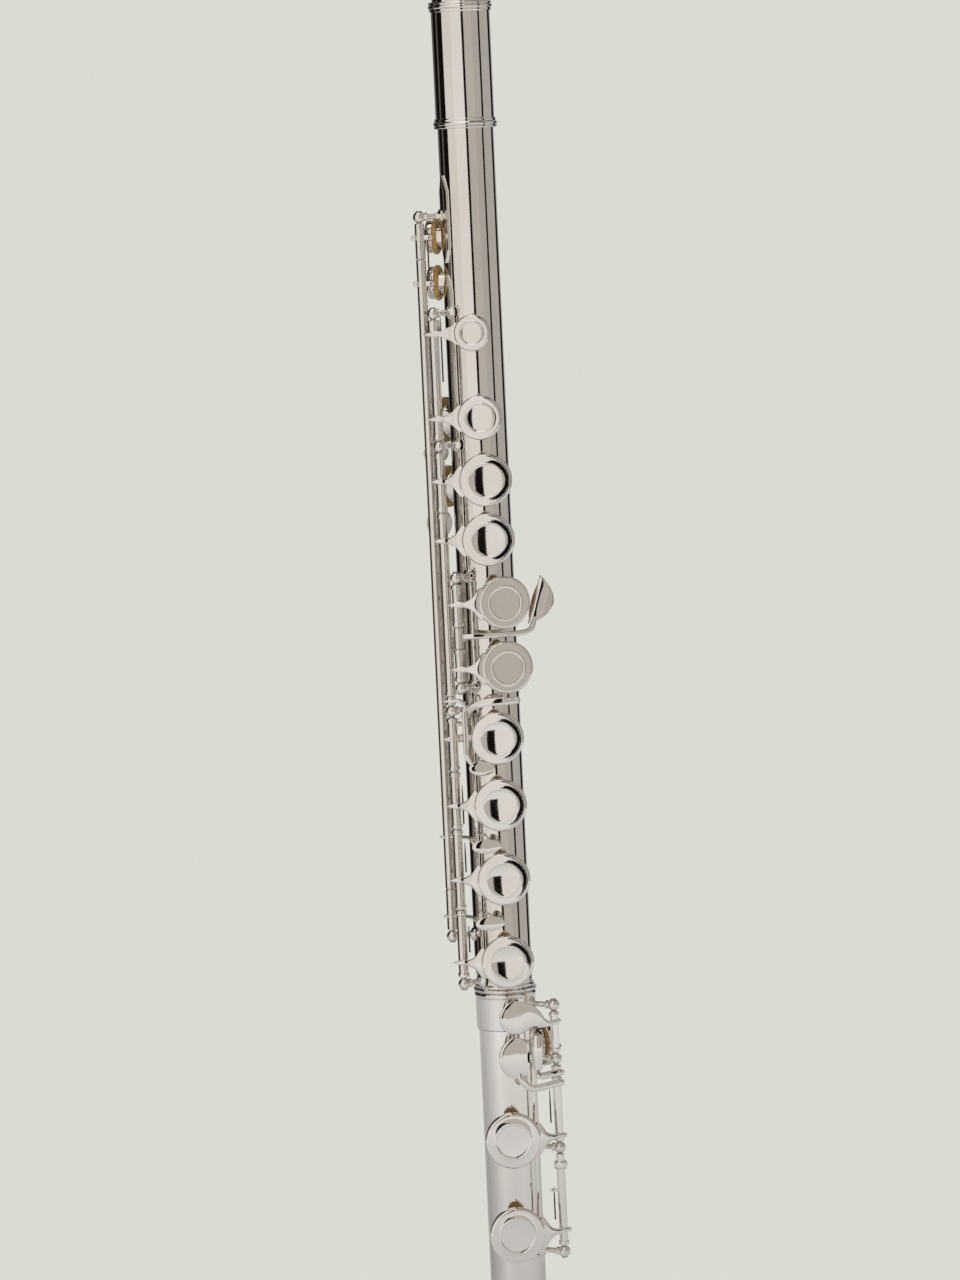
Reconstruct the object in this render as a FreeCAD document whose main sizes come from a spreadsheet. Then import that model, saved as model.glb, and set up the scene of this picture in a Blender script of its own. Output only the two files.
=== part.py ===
import FreeCAD, Part
import Sketcher
import math
import os
from FreeCAD import Placement, Rotation, Vector

# Concert flute, closed cups, offset G, C foot.  Millimetres.
# +Z runs up the tube from the foot's open end (the origin) to the crown.
# The in-line cups face -Y.  "Azimuth" turns from -Y towards +X; "out" is the
# distance from the tube's axis, "across" the distance to the right of an azimuth.

SIZES = [
    # alias, value, what it is
    ("bore_r", 9.5, "cylindrical bore"),
    ("tube_r", 9.95, "outside of body and foot tube"),
    ("tube_low", 0.0, "open end of the foot"),
    ("screw_r", 1.5, "headscrew"),
    ("socket_bore_r", 10.0, "bore of barrel and foot socket, slides on the tube size"),
    ("rib_r", 10.75, "outside of the ribs and of the foot socket"),
    ("barrel_r", 10.45, "outside of the barrel"),
    ("ring_r", 11.4, "largest radius of the decorative rings"),
    ("foot_top", 111.4, "upper end of the foot tube"),
    ("body_low", 111.8, "lower end of the body tube, the tenon"),
    ("socket_low", 110.0, "lower end of the foot socket"),
    ("socket_top", 123.6, "upper end of the foot socket"),
    ("body_top", 441.0, "upper end of the body tube, inside the barrel"),
    ("barrel_low", 433.8, "lower end of the barrel"),
    ("barrel_top", 478.5, "upper end of the barrel"),
    ("head_low", 441.2, "lower end of the head joint's tenon"),
    ("taper_low", 500.0, "where the head's taper begins"),
    ("head_top", 652.0, "upper end of the head tube"),
    ("head_top_r", 9.0, "outside of the head tube at the crown"),
    ("head_wall", 0.45, "wall of the head tube"),
    ("mouth_at", 602.0, "centre of the embouchure hole"),
    ("mouth_long", 6.1, "half length of the embouchure hole"),
    ("mouth_wide", 5.1, "half width of the embouchure hole"),
    ("lip_long", 30.5, "half length of the lip plate"),
    ("lip_wide", 14.0, "half width of the lip plate"),
    ("lip_out", 14.0, "outside of the lip plate at the embouchure"),
    ("lip_wall", 0.9, "thickness of the lip plate"),
    ("rim_out", 12.3, "height of the tone hole rims above the axis"),
    ("rim_wall", 0.45, "wall of a tone hole chimney"),
    ("rim_bead", 0.3, "half thickness of the rolled tone hole rim"),
    ("pad_gap", 0.06, "gap between a closed pad and its rim"),
    ("pad_thick", 2.3, "thickness of a pad"),
    ("cup_start", 0.6, "cup edge above the pad's face"),
    ("cup_deep", 2.9, "depth of a cup outside"),
    ("cup_edge", 0.8, "rounded part of a cup's top edge"),
    ("cup_wall", 0.7, "wall of a cup round its pad"),
    ("dish_deep", 0.35, "depth of the finger dish"),
    ("steel_r", 0.9, "hinge steels"),
    ("hinge_bore_r", 0.95, "bore of the hinge tubes"),
    ("hinge_r", 1.7, "outside of the hinge tubes"),
    ("foot_hinge_r", 1.5, "outside of the foot's hinge tubes"),
    ("ball_r", 2.1, "ball of a post"),
    ("stem_r", 1.0, "stem of a post"),
    ("flare_r", 2.3, "foot of a post"),
    ("flare_high", 1.7, "height of a post's flared foot"),
    ("arm_thick", 1.3, "thickness of key arms"),
    ("arm_narrow", 2.2, "width of a cup arm at its hinge"),
    ("spring_r", 0.28, "needle springs"),
    ("roller_r", 1.9, "roller of the low C lever"),
    ("roller_long", 12.4, "length of the roller"),
    ("axle_r", 0.6, "axle of the roller"),
    ("open_deg", 9.0, "how far a standing-open cup is raised"),
    ("foot_turn", -10.0, "azimuth of the foot joint's cups"),
]

HINGES = {
    # name: (azimuth, across, out) of each hinge line
    "main": (0.0, -16.0, 9.3),
    "g": (16.0, -16.0, 9.3),
    "thumb": (-136.0, -16.0, 9.3),
    "trill": (0.0, -18.5, 2.4),
    "foot": (-10.0, 17.4, 9.5),
}
THUMB_TURN = HINGES["thumb"][0]

doc = FreeCAD.newDocument("ConcertFlute")
sheet = doc.addObject("Spreadsheet::Sheet", "Sizes")
for row, (alias, value, note) in enumerate(SIZES, start=1):
    sheet.set(f"A{row}", note)
    sheet.set(f"B{row}", str(value))
    sheet.setAlias(f"B{row}", alias)
doc.recompute()

nodes = []


def mm(alias):
    """Value of one cell, for places worked out in code."""
    return float(sheet.get(alias))


def cell(text):
    """Prefix every word of a formula with the sheet's name."""
    words = text.split()
    return " ".join("Sizes." + w if w[0].isalpha() else w for w in words)


def add(kind, name, place=None, **sizes):
    """One Part object whose sizes follow formulas on the sheet."""
    made = doc.addObject("Part::" + kind, name)
    for prop, formula in sizes.items():
        if isinstance(formula, str) and prop != "DirMode":
            made.setExpression(prop, cell(formula))
        else:
            setattr(made, prop, formula)
    if place is not None:
        made.Placement = place
    return made


def fuse(name, shapes):
    if len(shapes) == 1:
        return shapes[0]
    made = doc.addObject("Part::MultiFuse", name)
    made.Shapes = shapes
    return made


def cut(name, base, tool):
    made = doc.addObject("Part::Cut", name)
    made.Base = base
    made.Tool = tool
    return made


def common(name, shapes):
    made = doc.addObject("Part::MultiCommon", name)
    made.Shapes = shapes
    return made


def node(made, label, place=None):
    """Name a finished sub-part and put it on the list that is written out."""
    made.Label = label
    if place is not None:
        made.Placement = place
    nodes.append(made)
    return made


def spot(azimuth, across, out, high):
    """A point given by azimuth, across, out and height."""
    turn = math.radians(azimuth)
    return Vector(across * math.cos(turn) + out * math.sin(turn),
                  across * math.sin(turn) - out * math.cos(turn), high)


def facing(azimuth, across, out, high):
    """Placement with local +Z pointing out of the tube and local +Y up it."""
    turn = Rotation(Vector(0, 0, 1), azimuth).multiply(Rotation(Vector(1, 0, 0), 90))
    return Placement(spot(azimuth, across, out, high), turn)


def upright(point):
    return Placement(point, Rotation())


def hinge_point(hinge, high):
    return spot(*HINGES[hinge], high)


def hinge_turn(hinge, degrees):
    """Placement that turns a key about its hinge line."""
    return Placement(Vector(), Rotation(Vector(0, 0, 1), degrees), hinge_point(hinge, 0))


def bar(name, start, end, wide=1.0):
    """Straight bar between two points, "wide" times as broad as arms are thick."""
    along = end - start
    upward = abs(along.z) > 0.9 * along.Length
    broad = Vector(1, 0, 0) if upward else Vector(0, 0, 1)
    turn = Rotation(Vector(), broad, along, "ZYX")
    thick = mm("arm_thick")
    corner = Placement(Vector(-thick / 2, -thick * wide / 2, 0), Rotation())
    return add("Box", name, Placement(start, turn).multiply(corner),
               Length="arm_thick", Width=f"arm_thick * {wide}", Height=along.Length)


def bars(name, points, **section):
    """Bars through a list of points, with a ball at each bend."""
    made = []
    for number, (start, end) in enumerate(zip(points, points[1:])):
        made.append(bar(f"{name}_bar{number}", start, end, **section))
    for number, point in enumerate(points[1:-1]):
        made.append(add("Sphere", f"{name}_bend{number}", upright(point), Radius="arm_thick * 0.55"))
    return made


def turned(label, outline):
    """PartDesign body turned about +Z from corners ((alias, plus), (alias, plus))."""
    body = doc.addObject("PartDesign::Body", label)
    plane = [o for o in body.Origin.OriginFeatures if o.Role == "XZ_Plane"][0]
    sketch = body.newObject("Sketcher::SketchObject", label + "_profile")
    sketch.AttachmentSupport = [(plane, "")]
    sketch.MapMode = "FlatFace"
    corners = [Vector(mm(r) + r_plus, mm(z) + z_plus, 0) for (r, r_plus), (z, z_plus) in outline]
    for start, end in zip(corners, corners[1:] + corners[:1]):
        sketch.addGeometry(Part.LineSegment(start, end), False)
    for i in range(len(corners)):
        following = (i + 1) % len(corners)
        sketch.addConstraint(Sketcher.Constraint("Coincident", i, 2, following, 1))
    for i, (radius, height) in enumerate(outline):
        for kind, (alias, plus) in (("DistanceX", radius), ("DistanceY", height)):
            value = mm(alias) + plus
            where = sketch.addConstraint(Sketcher.Constraint(kind, -1, 1, i, 1, value))
            sketch.setExpression(f"Constraints[{where}]", f"Sizes.{alias} + {plus}")
    turn = body.newObject("PartDesign::Revolution", label + "_turn")
    turn.Profile = sketch
    turn.ReferenceAxis = (sketch, ["V_Axis"])
    turn.Angle = 360
    body.Tip = turn
    return body


# --- tubes and tone holes ---------------------------------------------------

HOLES = {
    # name: (azimuth, height, cup radius); the hole is narrower than its cup
    "c_sharp": (-9.6, 361.7, 6.5),
    "c": (-4.3, 331.6, 7.9),
    "a_sharp": (0.0, 309.4, 9.4),
    "a": (0.0, 288.2, 9.4),
    "g_upper": (16.0, 265.5, 9.4),
    "g_lower": (16.0, 242.3, 9.4),
    "f_sharp": (0.0, 217.1, 9.4),
    "f": (0.0, 193.1, 9.4),
    "e": (0.0, 166.3, 9.4),
    "d": (0.0, 136.4, 9.4),
    "thumb_b": (THUMB_TURN, 330.0, 8.2),
    "thumb_b_flat": (THUMB_TURN, 306.0, 7.6),
    "g_sharp": (-136.0, 254.0, 8.2),
    "trill_d_sharp": (-110.0, 395.8, 5.8),
    "trill_d": (-110.0, 379.4, 5.8),
}
FOOT_HOLES = {
    "foot_c": (0.0, 37.0, 10.1),
    "foot_c_sharp": (0.0, 71.6, 10.1),
    "foot_d_sharp": (112.0, 103.0, 8.4),
}
CUP_OVER_HOLE = 2.4  # a cup's radius less its hole's


def foot_azimuth(azimuth):
    return azimuth + mm("foot_turn")


def place_of(name):
    """Azimuth, height and cup radius of a tone hole in the whole flute's frame."""
    if name in HOLES:
        return HOLES[name]
    azimuth, high, radius = FOOT_HOLES[name]
    return foot_azimuth(azimuth), high, radius


def tube(label, low, high, holes):
    """Tube with a raised chimney at every tone hole."""
    solids = [add("Cylinder", label + "_wall", upright(Vector(0, 0, mm(low))),
                  Radius="tube_r", Height=f"{high} - {low}")]
    tools = [add("Cylinder", label + "_bore", upright(Vector(0, 0, mm(low) - 1)),
                 Radius="bore_r", Height=f"{high} - {low} + 2")]
    for name in holes:
        azimuth, at, cup_r = place_of(name)
        hole_r = cup_r - CUP_OVER_HOLE
        base = facing(azimuth, 0, 0, at)
        rim = facing(azimuth, 0, mm("rim_out") - mm("rim_bead"), at)
        solids.append(add("Cylinder", name + "_chimney", base,
                          Radius=f"{hole_r} + rim_wall", Height="rim_out - rim_bead"))
        solids.append(add("Torus", name + "_rim", rim,
                          Radius1=f"{hole_r} + rim_wall / 2 + 0.1", Radius2="rim_bead"))
        tools.append(add("Cylinder", name + "_hole", base, Radius=hole_r, Height="rim_out + 2"))
    return node(cut(label + "_cut", fuse(label + "_solid", solids),
                    fuse(label + "_tools", tools)), label)


tube("foot_tube", "tube_low", "foot_top", FOOT_HOLES)
tube("body_tube", "body_low", "body_top", HOLES)

node(turned("foot_socket", [
    (("tube_r", 0), ("socket_low", 0)), (("tube_r", 0), ("foot_top", 0)),
    (("socket_bore_r", 0), ("foot_top", 0)), (("socket_bore_r", 0), ("socket_top", 0)),
    (("rib_r", 0.1), ("socket_top", 0)), (("ring_r", -0.3), ("socket_top", -0.5)),
    (("ring_r", -0.3), ("socket_top", -1.3)), (("rib_r", 0), ("socket_top", -1.9)),
    (("rib_r", 0), ("socket_low", 0.5)), (("rib_r", -0.4), ("socket_low", 0))]), "foot_socket")

node(turned("body_ring", [
    (("tube_r", 0), ("socket_top", 0.2)), (("rib_r", 0.2), ("socket_top", 0.2)),
    (("ring_r", -0.1), ("socket_top", 0.8)), (("ring_r", -0.1), ("socket_top", 1.4)),
    (("rib_r", -0.2), ("socket_top", 1.9)), (("rib_r", 0), ("socket_top", 2.5)),
    (("tube_r", 0.3), ("socket_top", 3.1)), (("tube_r", 0), ("socket_top", 3.1))]), "body_ring")

node(turned("barrel", [
    (("tube_r", 0), ("barrel_low", 0.4)), (("tube_r", 0), ("body_top", 0)),
    (("socket_bore_r", 0), ("body_top", 0)), (("socket_bore_r", 0), ("barrel_top", 0)),
    (("barrel_r", -0.1), ("barrel_top", 0)), (("barrel_r", 0), ("barrel_top", -0.3)),
    (("barrel_r", 0), ("barrel_low", 0.8)), (("barrel_r", -0.2), ("barrel_low", 0.4))]), "barrel")


def ring(label, edge, way):
    """Beaded ring round an end of the barrel, built from the edge inwards."""
    steps = ((0.0, 0), (0.35, 0), (0.75, 0.3), (0.75, 0.7), (0.45, 0.9), (0.95, 1.3),
             (0.95, 2.1), (0.45, 2.5), (0.55, 2.9), (0.3, 3.6), (0.0, 3.6))
    outline = [(("barrel_r", out), (edge, way * up)) for out, up in steps]
    return turned(label, outline)


node(fuse("barrel_rings_pair", [ring("lower_ring", "barrel_low", 1.0),
                                ring("upper_ring", "barrel_top", -1.0)]), "barrel_rings")


# --- ribs, posts and steels -------------------------------------------------

def rib(label, azimuth, width, low, high):
    """Strip of a thin tube, soldered along the flute under a row of posts."""
    shell = cut(label + "_shell",
                add("Cylinder", label + "_outer", upright(Vector(0, 0, low)),
                    Radius="rib_r", Height=high - low),
                add("Cylinder", label + "_inner", upright(Vector(0, 0, low)),
                    Radius="tube_r", Height=high - low))
    place = facing(azimuth, -width / 2, 0, low)
    strip = add("Box", label + "_strip", place, Length=width, Width=high - low, Height="rib_r + 1")
    return common(label, [shell, strip])


def post(name, hinge, high):
    """Ball on a turned stem with a flared foot, standing on its rib."""
    azimuth, across, out = HINGES[hinge]
    reach = math.hypot(across, out)
    lean = azimuth + math.degrees(math.atan2(across, out))
    stand = facing(lean, 0, mm("rib_r") - 0.5, high)
    solids = [
        add("Sphere", name + "_ball", facing(lean, 0, reach, high), Radius="ball_r"),
        add("Cylinder", name + "_stem", stand, Radius="stem_r", Height=reach - mm("rib_r") + 0.5),
        add("Cone", name + "_flare", stand, Radius1="flare_r", Radius2="stem_r",
            Height="flare_high + 0.5"),
        add("Cylinder", name + "_collar", facing(lean, 0, reach - mm("ball_r") - 0.6, high),
            Radius="stem_r + 0.4", Height=0.7),
    ]
    return fuse(name, solids)


def posts(label, standing):
    """Group of posts; rod holes are cut to the steels and feet to the rib."""
    group = fuse(label + "_group",
                 [post(f"{label}_{i}", hinge, high) for i, (hinge, high) in enumerate(standing)])
    low = min(high for _, high in standing) - 6
    top = max(high for _, high in standing) + 6
    tools = [add("Cylinder", label + "_foot_cut", upright(Vector(0, 0, low)),
                 Radius="rib_r", Height=top - low)]
    for hinge in sorted({hinge for hinge, _ in standing}):
        tools.append(add("Cylinder", f"{label}_{hinge}_hole", upright(hinge_point(hinge, low)),
                         Radius="steel_r", Height=top - low))
    return node(cut(label + "_cut", group, fuse(label + "_tools", tools)), label)


def steel(hinge):
    """Steel through a row of posts, flush with the outer balls."""
    ends = POSTS[hinge]
    place = upright(hinge_point(hinge, ends[0] - mm("ball_r")))
    return add("Cylinder", hinge + "_steel", place, Radius="steel_r",
               Height=f"{ends[-1] - ends[0]} + 2 * ball_r")


POSTS = {
    "main": (128.4, 227.0, 321.7, 368.9),
    "trill": (144.9, 403.1),
    "g": (235.4, 274.9),
    "thumb": (297.5, 342.0),
    "foot": (28.9, 67.1, 99.5, 119.1),
}
BODY_HINGES = ("main", "trill", "g", "thumb")

node(fuse("body_ribs_group", [rib("main_rib", -70.0, 5.4, 126.9, 417.4),
                              rib("g_rib", -43.8, 3.2, 231.5, 278.5),
                              rib("thumb_rib", -195.8, 4.4, 291.0, 347.5)]), "body_ribs")
node(rib("foot_rib_strip", foot_azimuth(62.4), 2.4, 24.0, 109.8), "foot_rib")
posts("body_posts", [(hinge, at) for hinge in BODY_HINGES for at in POSTS[hinge]])
posts("foot_posts", [("foot", at) for at in POSTS["foot"]])
node(fuse("body_steels_group", [steel(hinge) for hinge in BODY_HINGES]), "body_steels")
node(steel("foot"), "foot_hinge_steel")


# --- keys -------------------------------------------------------------------

def cup(name):
    """Closed cup over a tone hole: outside, and the pocket and dish cut from it."""
    azimuth, high, cup_r = place_of(name)
    floor = mm("rim_out") + mm("pad_gap")
    start = floor + mm("cup_start")
    solid = [
        add("Cylinder", name + "_cup", facing(azimuth, 0, start, high),
            Radius=cup_r, Height="cup_deep - cup_edge"),
        add("Cone", name + "_edge", facing(azimuth, 0, start + mm("cup_deep") - mm("cup_edge"), high),
            Radius1=cup_r, Radius2=f"{cup_r} - cup_edge", Height="cup_edge"),
    ]
    dish_r = cup_r * 0.6
    tools = [
        add("Cylinder", name + "_pocket", facing(azimuth, 0, floor - 1, high),
            Radius=f"{cup_r} - cup_wall", Height="pad_thick + 1"),
        add("Cylinder", name + "_dish", facing(azimuth, 0, start + mm("cup_deep") - mm("dish_deep"), high),
            Radius=dish_r, Height=1),
    ]
    return solid, tools


def cup_middle():
    """How far out the middle of a closed cup's wall lies."""
    return mm("rim_out") + mm("cup_start") + mm("cup_deep") / 2 + 0.2


def cup_arm(name, hinge):
    """Flared arm from the hinge line to a cup's side, with a small tail past the hinge."""
    azimuth, high, cup_r = place_of(name)
    start = hinge_point(hinge, high)
    mid = cup_middle()
    side = math.copysign(1, HINGES[hinge][1])
    end = spot(azimuth, side * (cup_r - 0.5), mid, high)
    along = end - start
    length = along.Length
    along.normalize()
    turn = Rotation(Vector(0, 0, 1), along, Vector(), "XYZ")
    half = mm("arm_thick") / 2
    wide = cup_r * 0.62
    wedge = add("Wedge", name + "_arm", Placement(start, turn), Ymin=0, Ymax=length,
                Xmin=-mm("arm_narrow") / 2, Xmax=mm("arm_narrow") / 2,
                X2min=-wide, X2max=wide, Zmin=-half, Zmax=half, Z2min=-half, Z2max=half)
    back = Rotation(Vector(0, 0, 1), -along)
    tail = add("Cone", name + "_tail", Placement(start, back), Radius1=0.9, Radius2=0.15,
               Height="hinge_r + 2.2")
    return [wedge, tail]


def key(label, hinge, tubes, cups, extras=(), open_standing=True, turn_way=1, arms=True):
    """One soldered key: hinge tubes, arms and cups, turned to where it stands at rest."""
    hinge_r = "foot_hinge_r" if hinge == "foot" else "hinge_r"
    solids = []
    tools = []
    for number, (start, end) in enumerate(tubes):
        solids.append(add("Cylinder", f"{label}_tube{number}", upright(hinge_point(hinge, start)),
                          Radius=hinge_r, Height=end - start))
        tools.append(add("Cylinder", f"{label}_bore{number}", upright(hinge_point(hinge, start - 4)),
                         Radius="hinge_bore_r", Height=end - start + 8))
    for name in cups:
        cup_solids, cup_tools = cup(name)
        solids += cup_solids
        tools += cup_tools
        if arms:
            solids += cup_arm(name, hinge)
    solids += extras
    whole = cut(label + "_cut", fuse(label + "_solid", solids), fuse(label + "_tools", tools))
    rest = hinge_turn(hinge, -turn_way * mm("open_deg") if open_standing else 0.0)
    node(whole, label, rest)
    if cups:
        pads(label, cups, rest)


def pads(label, cups, rest):
    """The pads of one key, each a disc in its cup's pocket."""
    discs = []
    for name in cups:
        azimuth, high, cup_r = place_of(name)
        place = facing(azimuth, 0, mm("rim_out") + mm("pad_gap"), high)
        discs.append(add("Cylinder", name + "_pad", place,
                         Radius=f"{cup_r} - cup_wall - 0.05", Height="pad_thick"))
    label = label.replace("_key", "") + ("_pads" if len(cups) > 1 else "_pad")
    if len(discs) == 1:
        node(discs[0], label, rest.multiply(discs[0].Placement))
    else:
        node(fuse(label + "_group", discs), label, rest)


def plate(name, azimuth, across, out, high, half_across, half_up, half_thick):
    """Oval finger touch lying across the tube."""
    place = facing(azimuth, across, out, high)
    if half_up > half_across:
        place = place.multiply(Placement(Vector(), Rotation(Vector(0, 0, 1), 90)))
    oval = add("Ellipse", name + "_oval", place, MajorRadius=max(half_across, half_up),
               MinorRadius=min(half_across, half_up))
    return add("Extrusion", name, Base=oval, DirMode="Normal", Solid=True, Symmetric=True,
               LengthFwd=2 * half_thick)


def thumb_extras(name, start, touch_at, half_up):
    """Thumb touch, and the strap that joins it to its cup."""
    across, out = 3.0, 15.6
    strap = bar(name + "_strap", spot(THUMB_TURN, across, out, start),
                spot(THUMB_TURN, across, out, touch_at), wide=3.0)
    return [strap, plate(name + "_touch", THUMB_TURN, across, out, touch_at, 6.0, half_up, 1.0)]


key("c_key", "main", [(324.0, 366.6)], ["c_sharp", "c"])
key("a_sharp_key", "main", [(298.2, 319.4)], ["a_sharp"])
key("a_key", "main", [(232.4, 298.0)], ["a"])
key("g_upper_key", "g", [(257.3, 272.6)], ["g_upper"])
key("g_lower_key", "g", [(237.7, 249.4)], ["g_lower"])
key("f_key", "main", [(184.6, 205.2)], ["f"])
key("e_key", "main", [(155.4, 184.4)], ["e"])
key("d_key", "main", [(130.7, 155.2)], ["d"])
key("thumb_b_key", "thumb", [(320.0, 339.7)], ["thumb_b"],
    extras=thumb_extras("thumb_b", 325.0, 317.7, 3.9))
key("thumb_b_flat_key", "thumb", [(299.8, 319.8)], ["thumb_b_flat"],
    extras=thumb_extras("thumb_b_flat", 301.0, 292.4, 5.6))


def f_sharp_extras():
    """Low arm under the side lever, and the curved arm that reaches over the tube."""
    hinge = hinge_point("main", 217.1)
    low_arm = bars("f_sharp_arm", [hinge, spot(0, -10.8, 8.9, 217.1), spot(0, -8.6, 13.6, 217.1)],
                   wide=2.0)
    over = bars("bridge", [hinge_point("main", 222.0), spot(0, -12.0, 8.9, 223.4),
                           spot(0, -9.6, 10.6, 226.6), spot(0, -6.5, 14.2, 229.4),
                           spot(0, -2.0, 14.9, 230.2), spot(0, 7.5, 13.6, 230.4)])
    return low_arm + over


key("f_sharp_key", "main", [(205.4, 224.6)], ["f_sharp"], extras=f_sharp_extras(), arms=False)

key("g_sharp_key", "g", [(249.6, 257.1)], ["g_sharp"], arms=False, open_standing=False,
    extras=bars("g_sharp_under", [
        hinge_point("g", 252.4), spot(-50, 0, 13.5, 252.4), spot(-75, 0, 13.2, 252.4),
        spot(-98, 0, 14.1, 252.4), spot(-111, 0, 16.4, 252.4)], wide=1.5)
    + bars("g_sharp_over", [
        hinge_point("g", 253.9), spot(0, -8.5, 14.6, 253.9), spot(0, 6.0, 14.0, 253.9),
        spot(0, 14.0, 11.4, 254.6), spot(0, 17.4, 10.2, 259.0)])
    + [plate("g_sharp_touch", 60.0, 1.0, 19.6, 265.6, 3.4, 8.6, 0.8)])


def trill_extras(name, cup_name, touch_at, arm_at):
    """Short arm to the cup, and a bent arm under the main hinge line to the touch."""
    azimuth, high, cup_r = place_of(cup_name)
    mid = cup_middle()
    to_cup = bar(name + "_cup_arm", hinge_point("trill", high),
                 spot(azimuth, cup_r - 1.6, mid, high), wide=1.6)
    to_touch = bars(name + "_arm", [
        hinge_point("trill", arm_at), spot(0, -14.2, 5.6, arm_at), spot(0, -11.4, 11.0, arm_at),
        spot(0, -9.6, 14.8, touch_at)])
    touch = plate(name + "_touch", 0, -6.5, 15.8, touch_at, 5.2, 2.5, 0.7)
    return [to_cup, touch] + to_touch


key("trill_d_sharp_key", "trill", [(147.3, 162.0), (388.2, 400.8)], ["trill_d_sharp"], arms=False,
    extras=trill_extras("trill_d_sharp", "trill_d_sharp", 150.6, 152.2), open_standing=False)
key("trill_d_key", "trill", [(162.2, 388.0)], ["trill_d"], arms=False,
    extras=trill_extras("trill_d", "trill_d", 178.4, 181.0), open_standing=False)

key("side_lever", "main", [(229.3, 232.2)], [], open_standing=False, extras=bars(
    "side_lever_arm", [hinge_point("main", 230.8), spot(0, -11.8, 12.7, 230.8),
                       spot(0, -11.8, 12.6, 211.5), spot(0, -10.0, 11.7, 206.6)])
    + [plate("side_lever_touch", 0, -6.3, 11.7, 206.2, 4.6, 2.6, 0.5)])


# --- foot keys --------------------------------------------------------------

def foot_spot(across, out, high):
    return spot(mm("foot_turn"), across, out, high)


FOOT_TURN = mm("foot_turn")  # the azimuth the foot's touches face
key("foot_c_key", "foot", [(31.2, 64.8), (93.2, 97.1)], ["foot_c"], turn_way=-1, extras=bars(
    "roller_arm", [foot_spot(17.4, 9.5, 94.4), foot_spot(11.6, 14.4, 94.4),
                   foot_spot(10.2, 14.6, 94.4)]))
key("foot_c_sharp_key", "foot", [(69.4, 93.0)], ["foot_c_sharp"], turn_way=-1, extras=bars(
    "c_sharp_arm", [foot_spot(17.4, 9.5, 90.4), foot_spot(9.0, 13.6, 90.4),
                    foot_spot(4.0, 13.9, 93.4)])
    + [plate("c_sharp_touch", FOOT_TURN, 2.0, 13.9, 100.0, 4.7, 7.6, 0.7)])
key("foot_d_sharp_key", "foot", [(101.9, 116.7)], ["foot_d_sharp"], arms=False, open_standing=False,
    extras=bars("d_sharp_arm", [foot_spot(17.4, 9.5, 113.7), foot_spot(12.4, 13.4, 113.9),
                                foot_spot(8.0, 13.9, 114.6)])
    + [bar("d_sharp_cup_arm", foot_spot(17.4, 9.5, 103.5), foot_spot(16.4, 2.6, 103.5),
           wide=1.6),
       plate("d_sharp_touch", FOOT_TURN, 4.6, 14.2, 115.6, 6.0, 5.0, 0.6)])

ROLLER_SPOT = foot_spot(10.2, 14.6, 95.6)
FOOT_REST = hinge_turn("foot", mm("open_deg"))
node(add("Cylinder", "roller_axle_pin", upright(ROLLER_SPOT), Radius="axle_r", Height="roller_long + 1.2"),
     "roller_axle", FOOT_REST.multiply(upright(ROLLER_SPOT)))
roller_place = upright(ROLLER_SPOT + Vector(0, 0, 0.4))
node(cut("roller_cut", add("Cylinder", "roller_solid", roller_place, Radius="roller_r", Height="roller_long"),
         add("Cylinder", "roller_bore", upright(ROLLER_SPOT), Radius="axle_r + 0.05",
             Height="roller_long + 2")), "roller", FOOT_REST)


# --- needle springs ---------------------------------------------------------

def needle(name, azimuth, across, out, low, high):
    """Straight needle spring lying beside a hinge line."""
    place = upright(spot(azimuth, across, out, low))
    return add("Cylinder", name, place, Radius="spring_r", Height=high - low)


node(fuse("body_springs_group", [
    needle("spring_trill", 0, -15.9, 3.2, 381.5, 401.5),
    needle("spring_c", 0, -13.3, 8.0, 344.5, 367.2),
    needle("spring_f", 0, -13.3, 8.0, 186.0, 200.0),
    needle("spring_e", 0, -13.3, 8.0, 168.5, 179.2),
    needle("spring_d", 0, -13.3, 8.0, 139.5, 149.0)]), "body_springs")
node(fuse("foot_springs_group", [
    needle("spring_foot_c", FOOT_TURN, 14.6, 8.6, 40.5, 52.5),
    needle("spring_foot_c_sharp", FOOT_TURN, 14.6, 8.6, 76.0, 88.0)]), "foot_springs")


# --- head joint -------------------------------------------------------------

def mouth_hole(name, long, wide):
    """Oval cutter through the front of the head joint at the embouchure."""
    wall = add("Ellipsoid", name, facing(0, 0, 0, mm("mouth_at")),
               Radius1=200, Radius2=wide, Radius3=long)
    front = add("Box", name + "_front", facing(0, -20, 0, mm("mouth_at") - 40),
                Length=40, Width=80, Height=20)
    return common(name + "_oval", [wall, front])


head_outer = [
    add("Cylinder", "head_tenon", upright(Vector(0, 0, mm("head_low"))),
        Radius="tube_r", Height="taper_low - head_low"),
    add("Cone", "head_taper", upright(Vector(0, 0, mm("taper_low"))),
        Radius1="tube_r", Radius2="head_top_r", Height="head_top - taper_low")]
head_inner = [
    add("Cylinder", "head_tenon_bore", upright(Vector(0, 0, mm("head_low") - 1)),
        Radius="tube_r - head_wall", Height="taper_low - head_low + 1"),
    add("Cone", "head_taper_bore", upright(Vector(0, 0, mm("taper_low"))),
        Radius1="tube_r - head_wall", Radius2="head_top_r - head_wall",
        Height="head_top - taper_low"),
    mouth_hole("head_mouth", "mouth_long", "mouth_wide")]
node(cut("head_cut", fuse("head_solid", head_outer), fuse("head_tools", head_inner)), "head_tube")


def dome(name, shrink):
    """Long ellipsoid whose skin is the lip plate's curved surface."""
    return add("Ellipsoid", name, upright(Vector(0, 0, mm("mouth_at"))),
               Radius1=f"lip_long * 1.37 - {shrink}", Radius2=f"lip_out + 1.4 - {shrink}",
               Radius3=f"lip_out - {shrink}")


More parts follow.
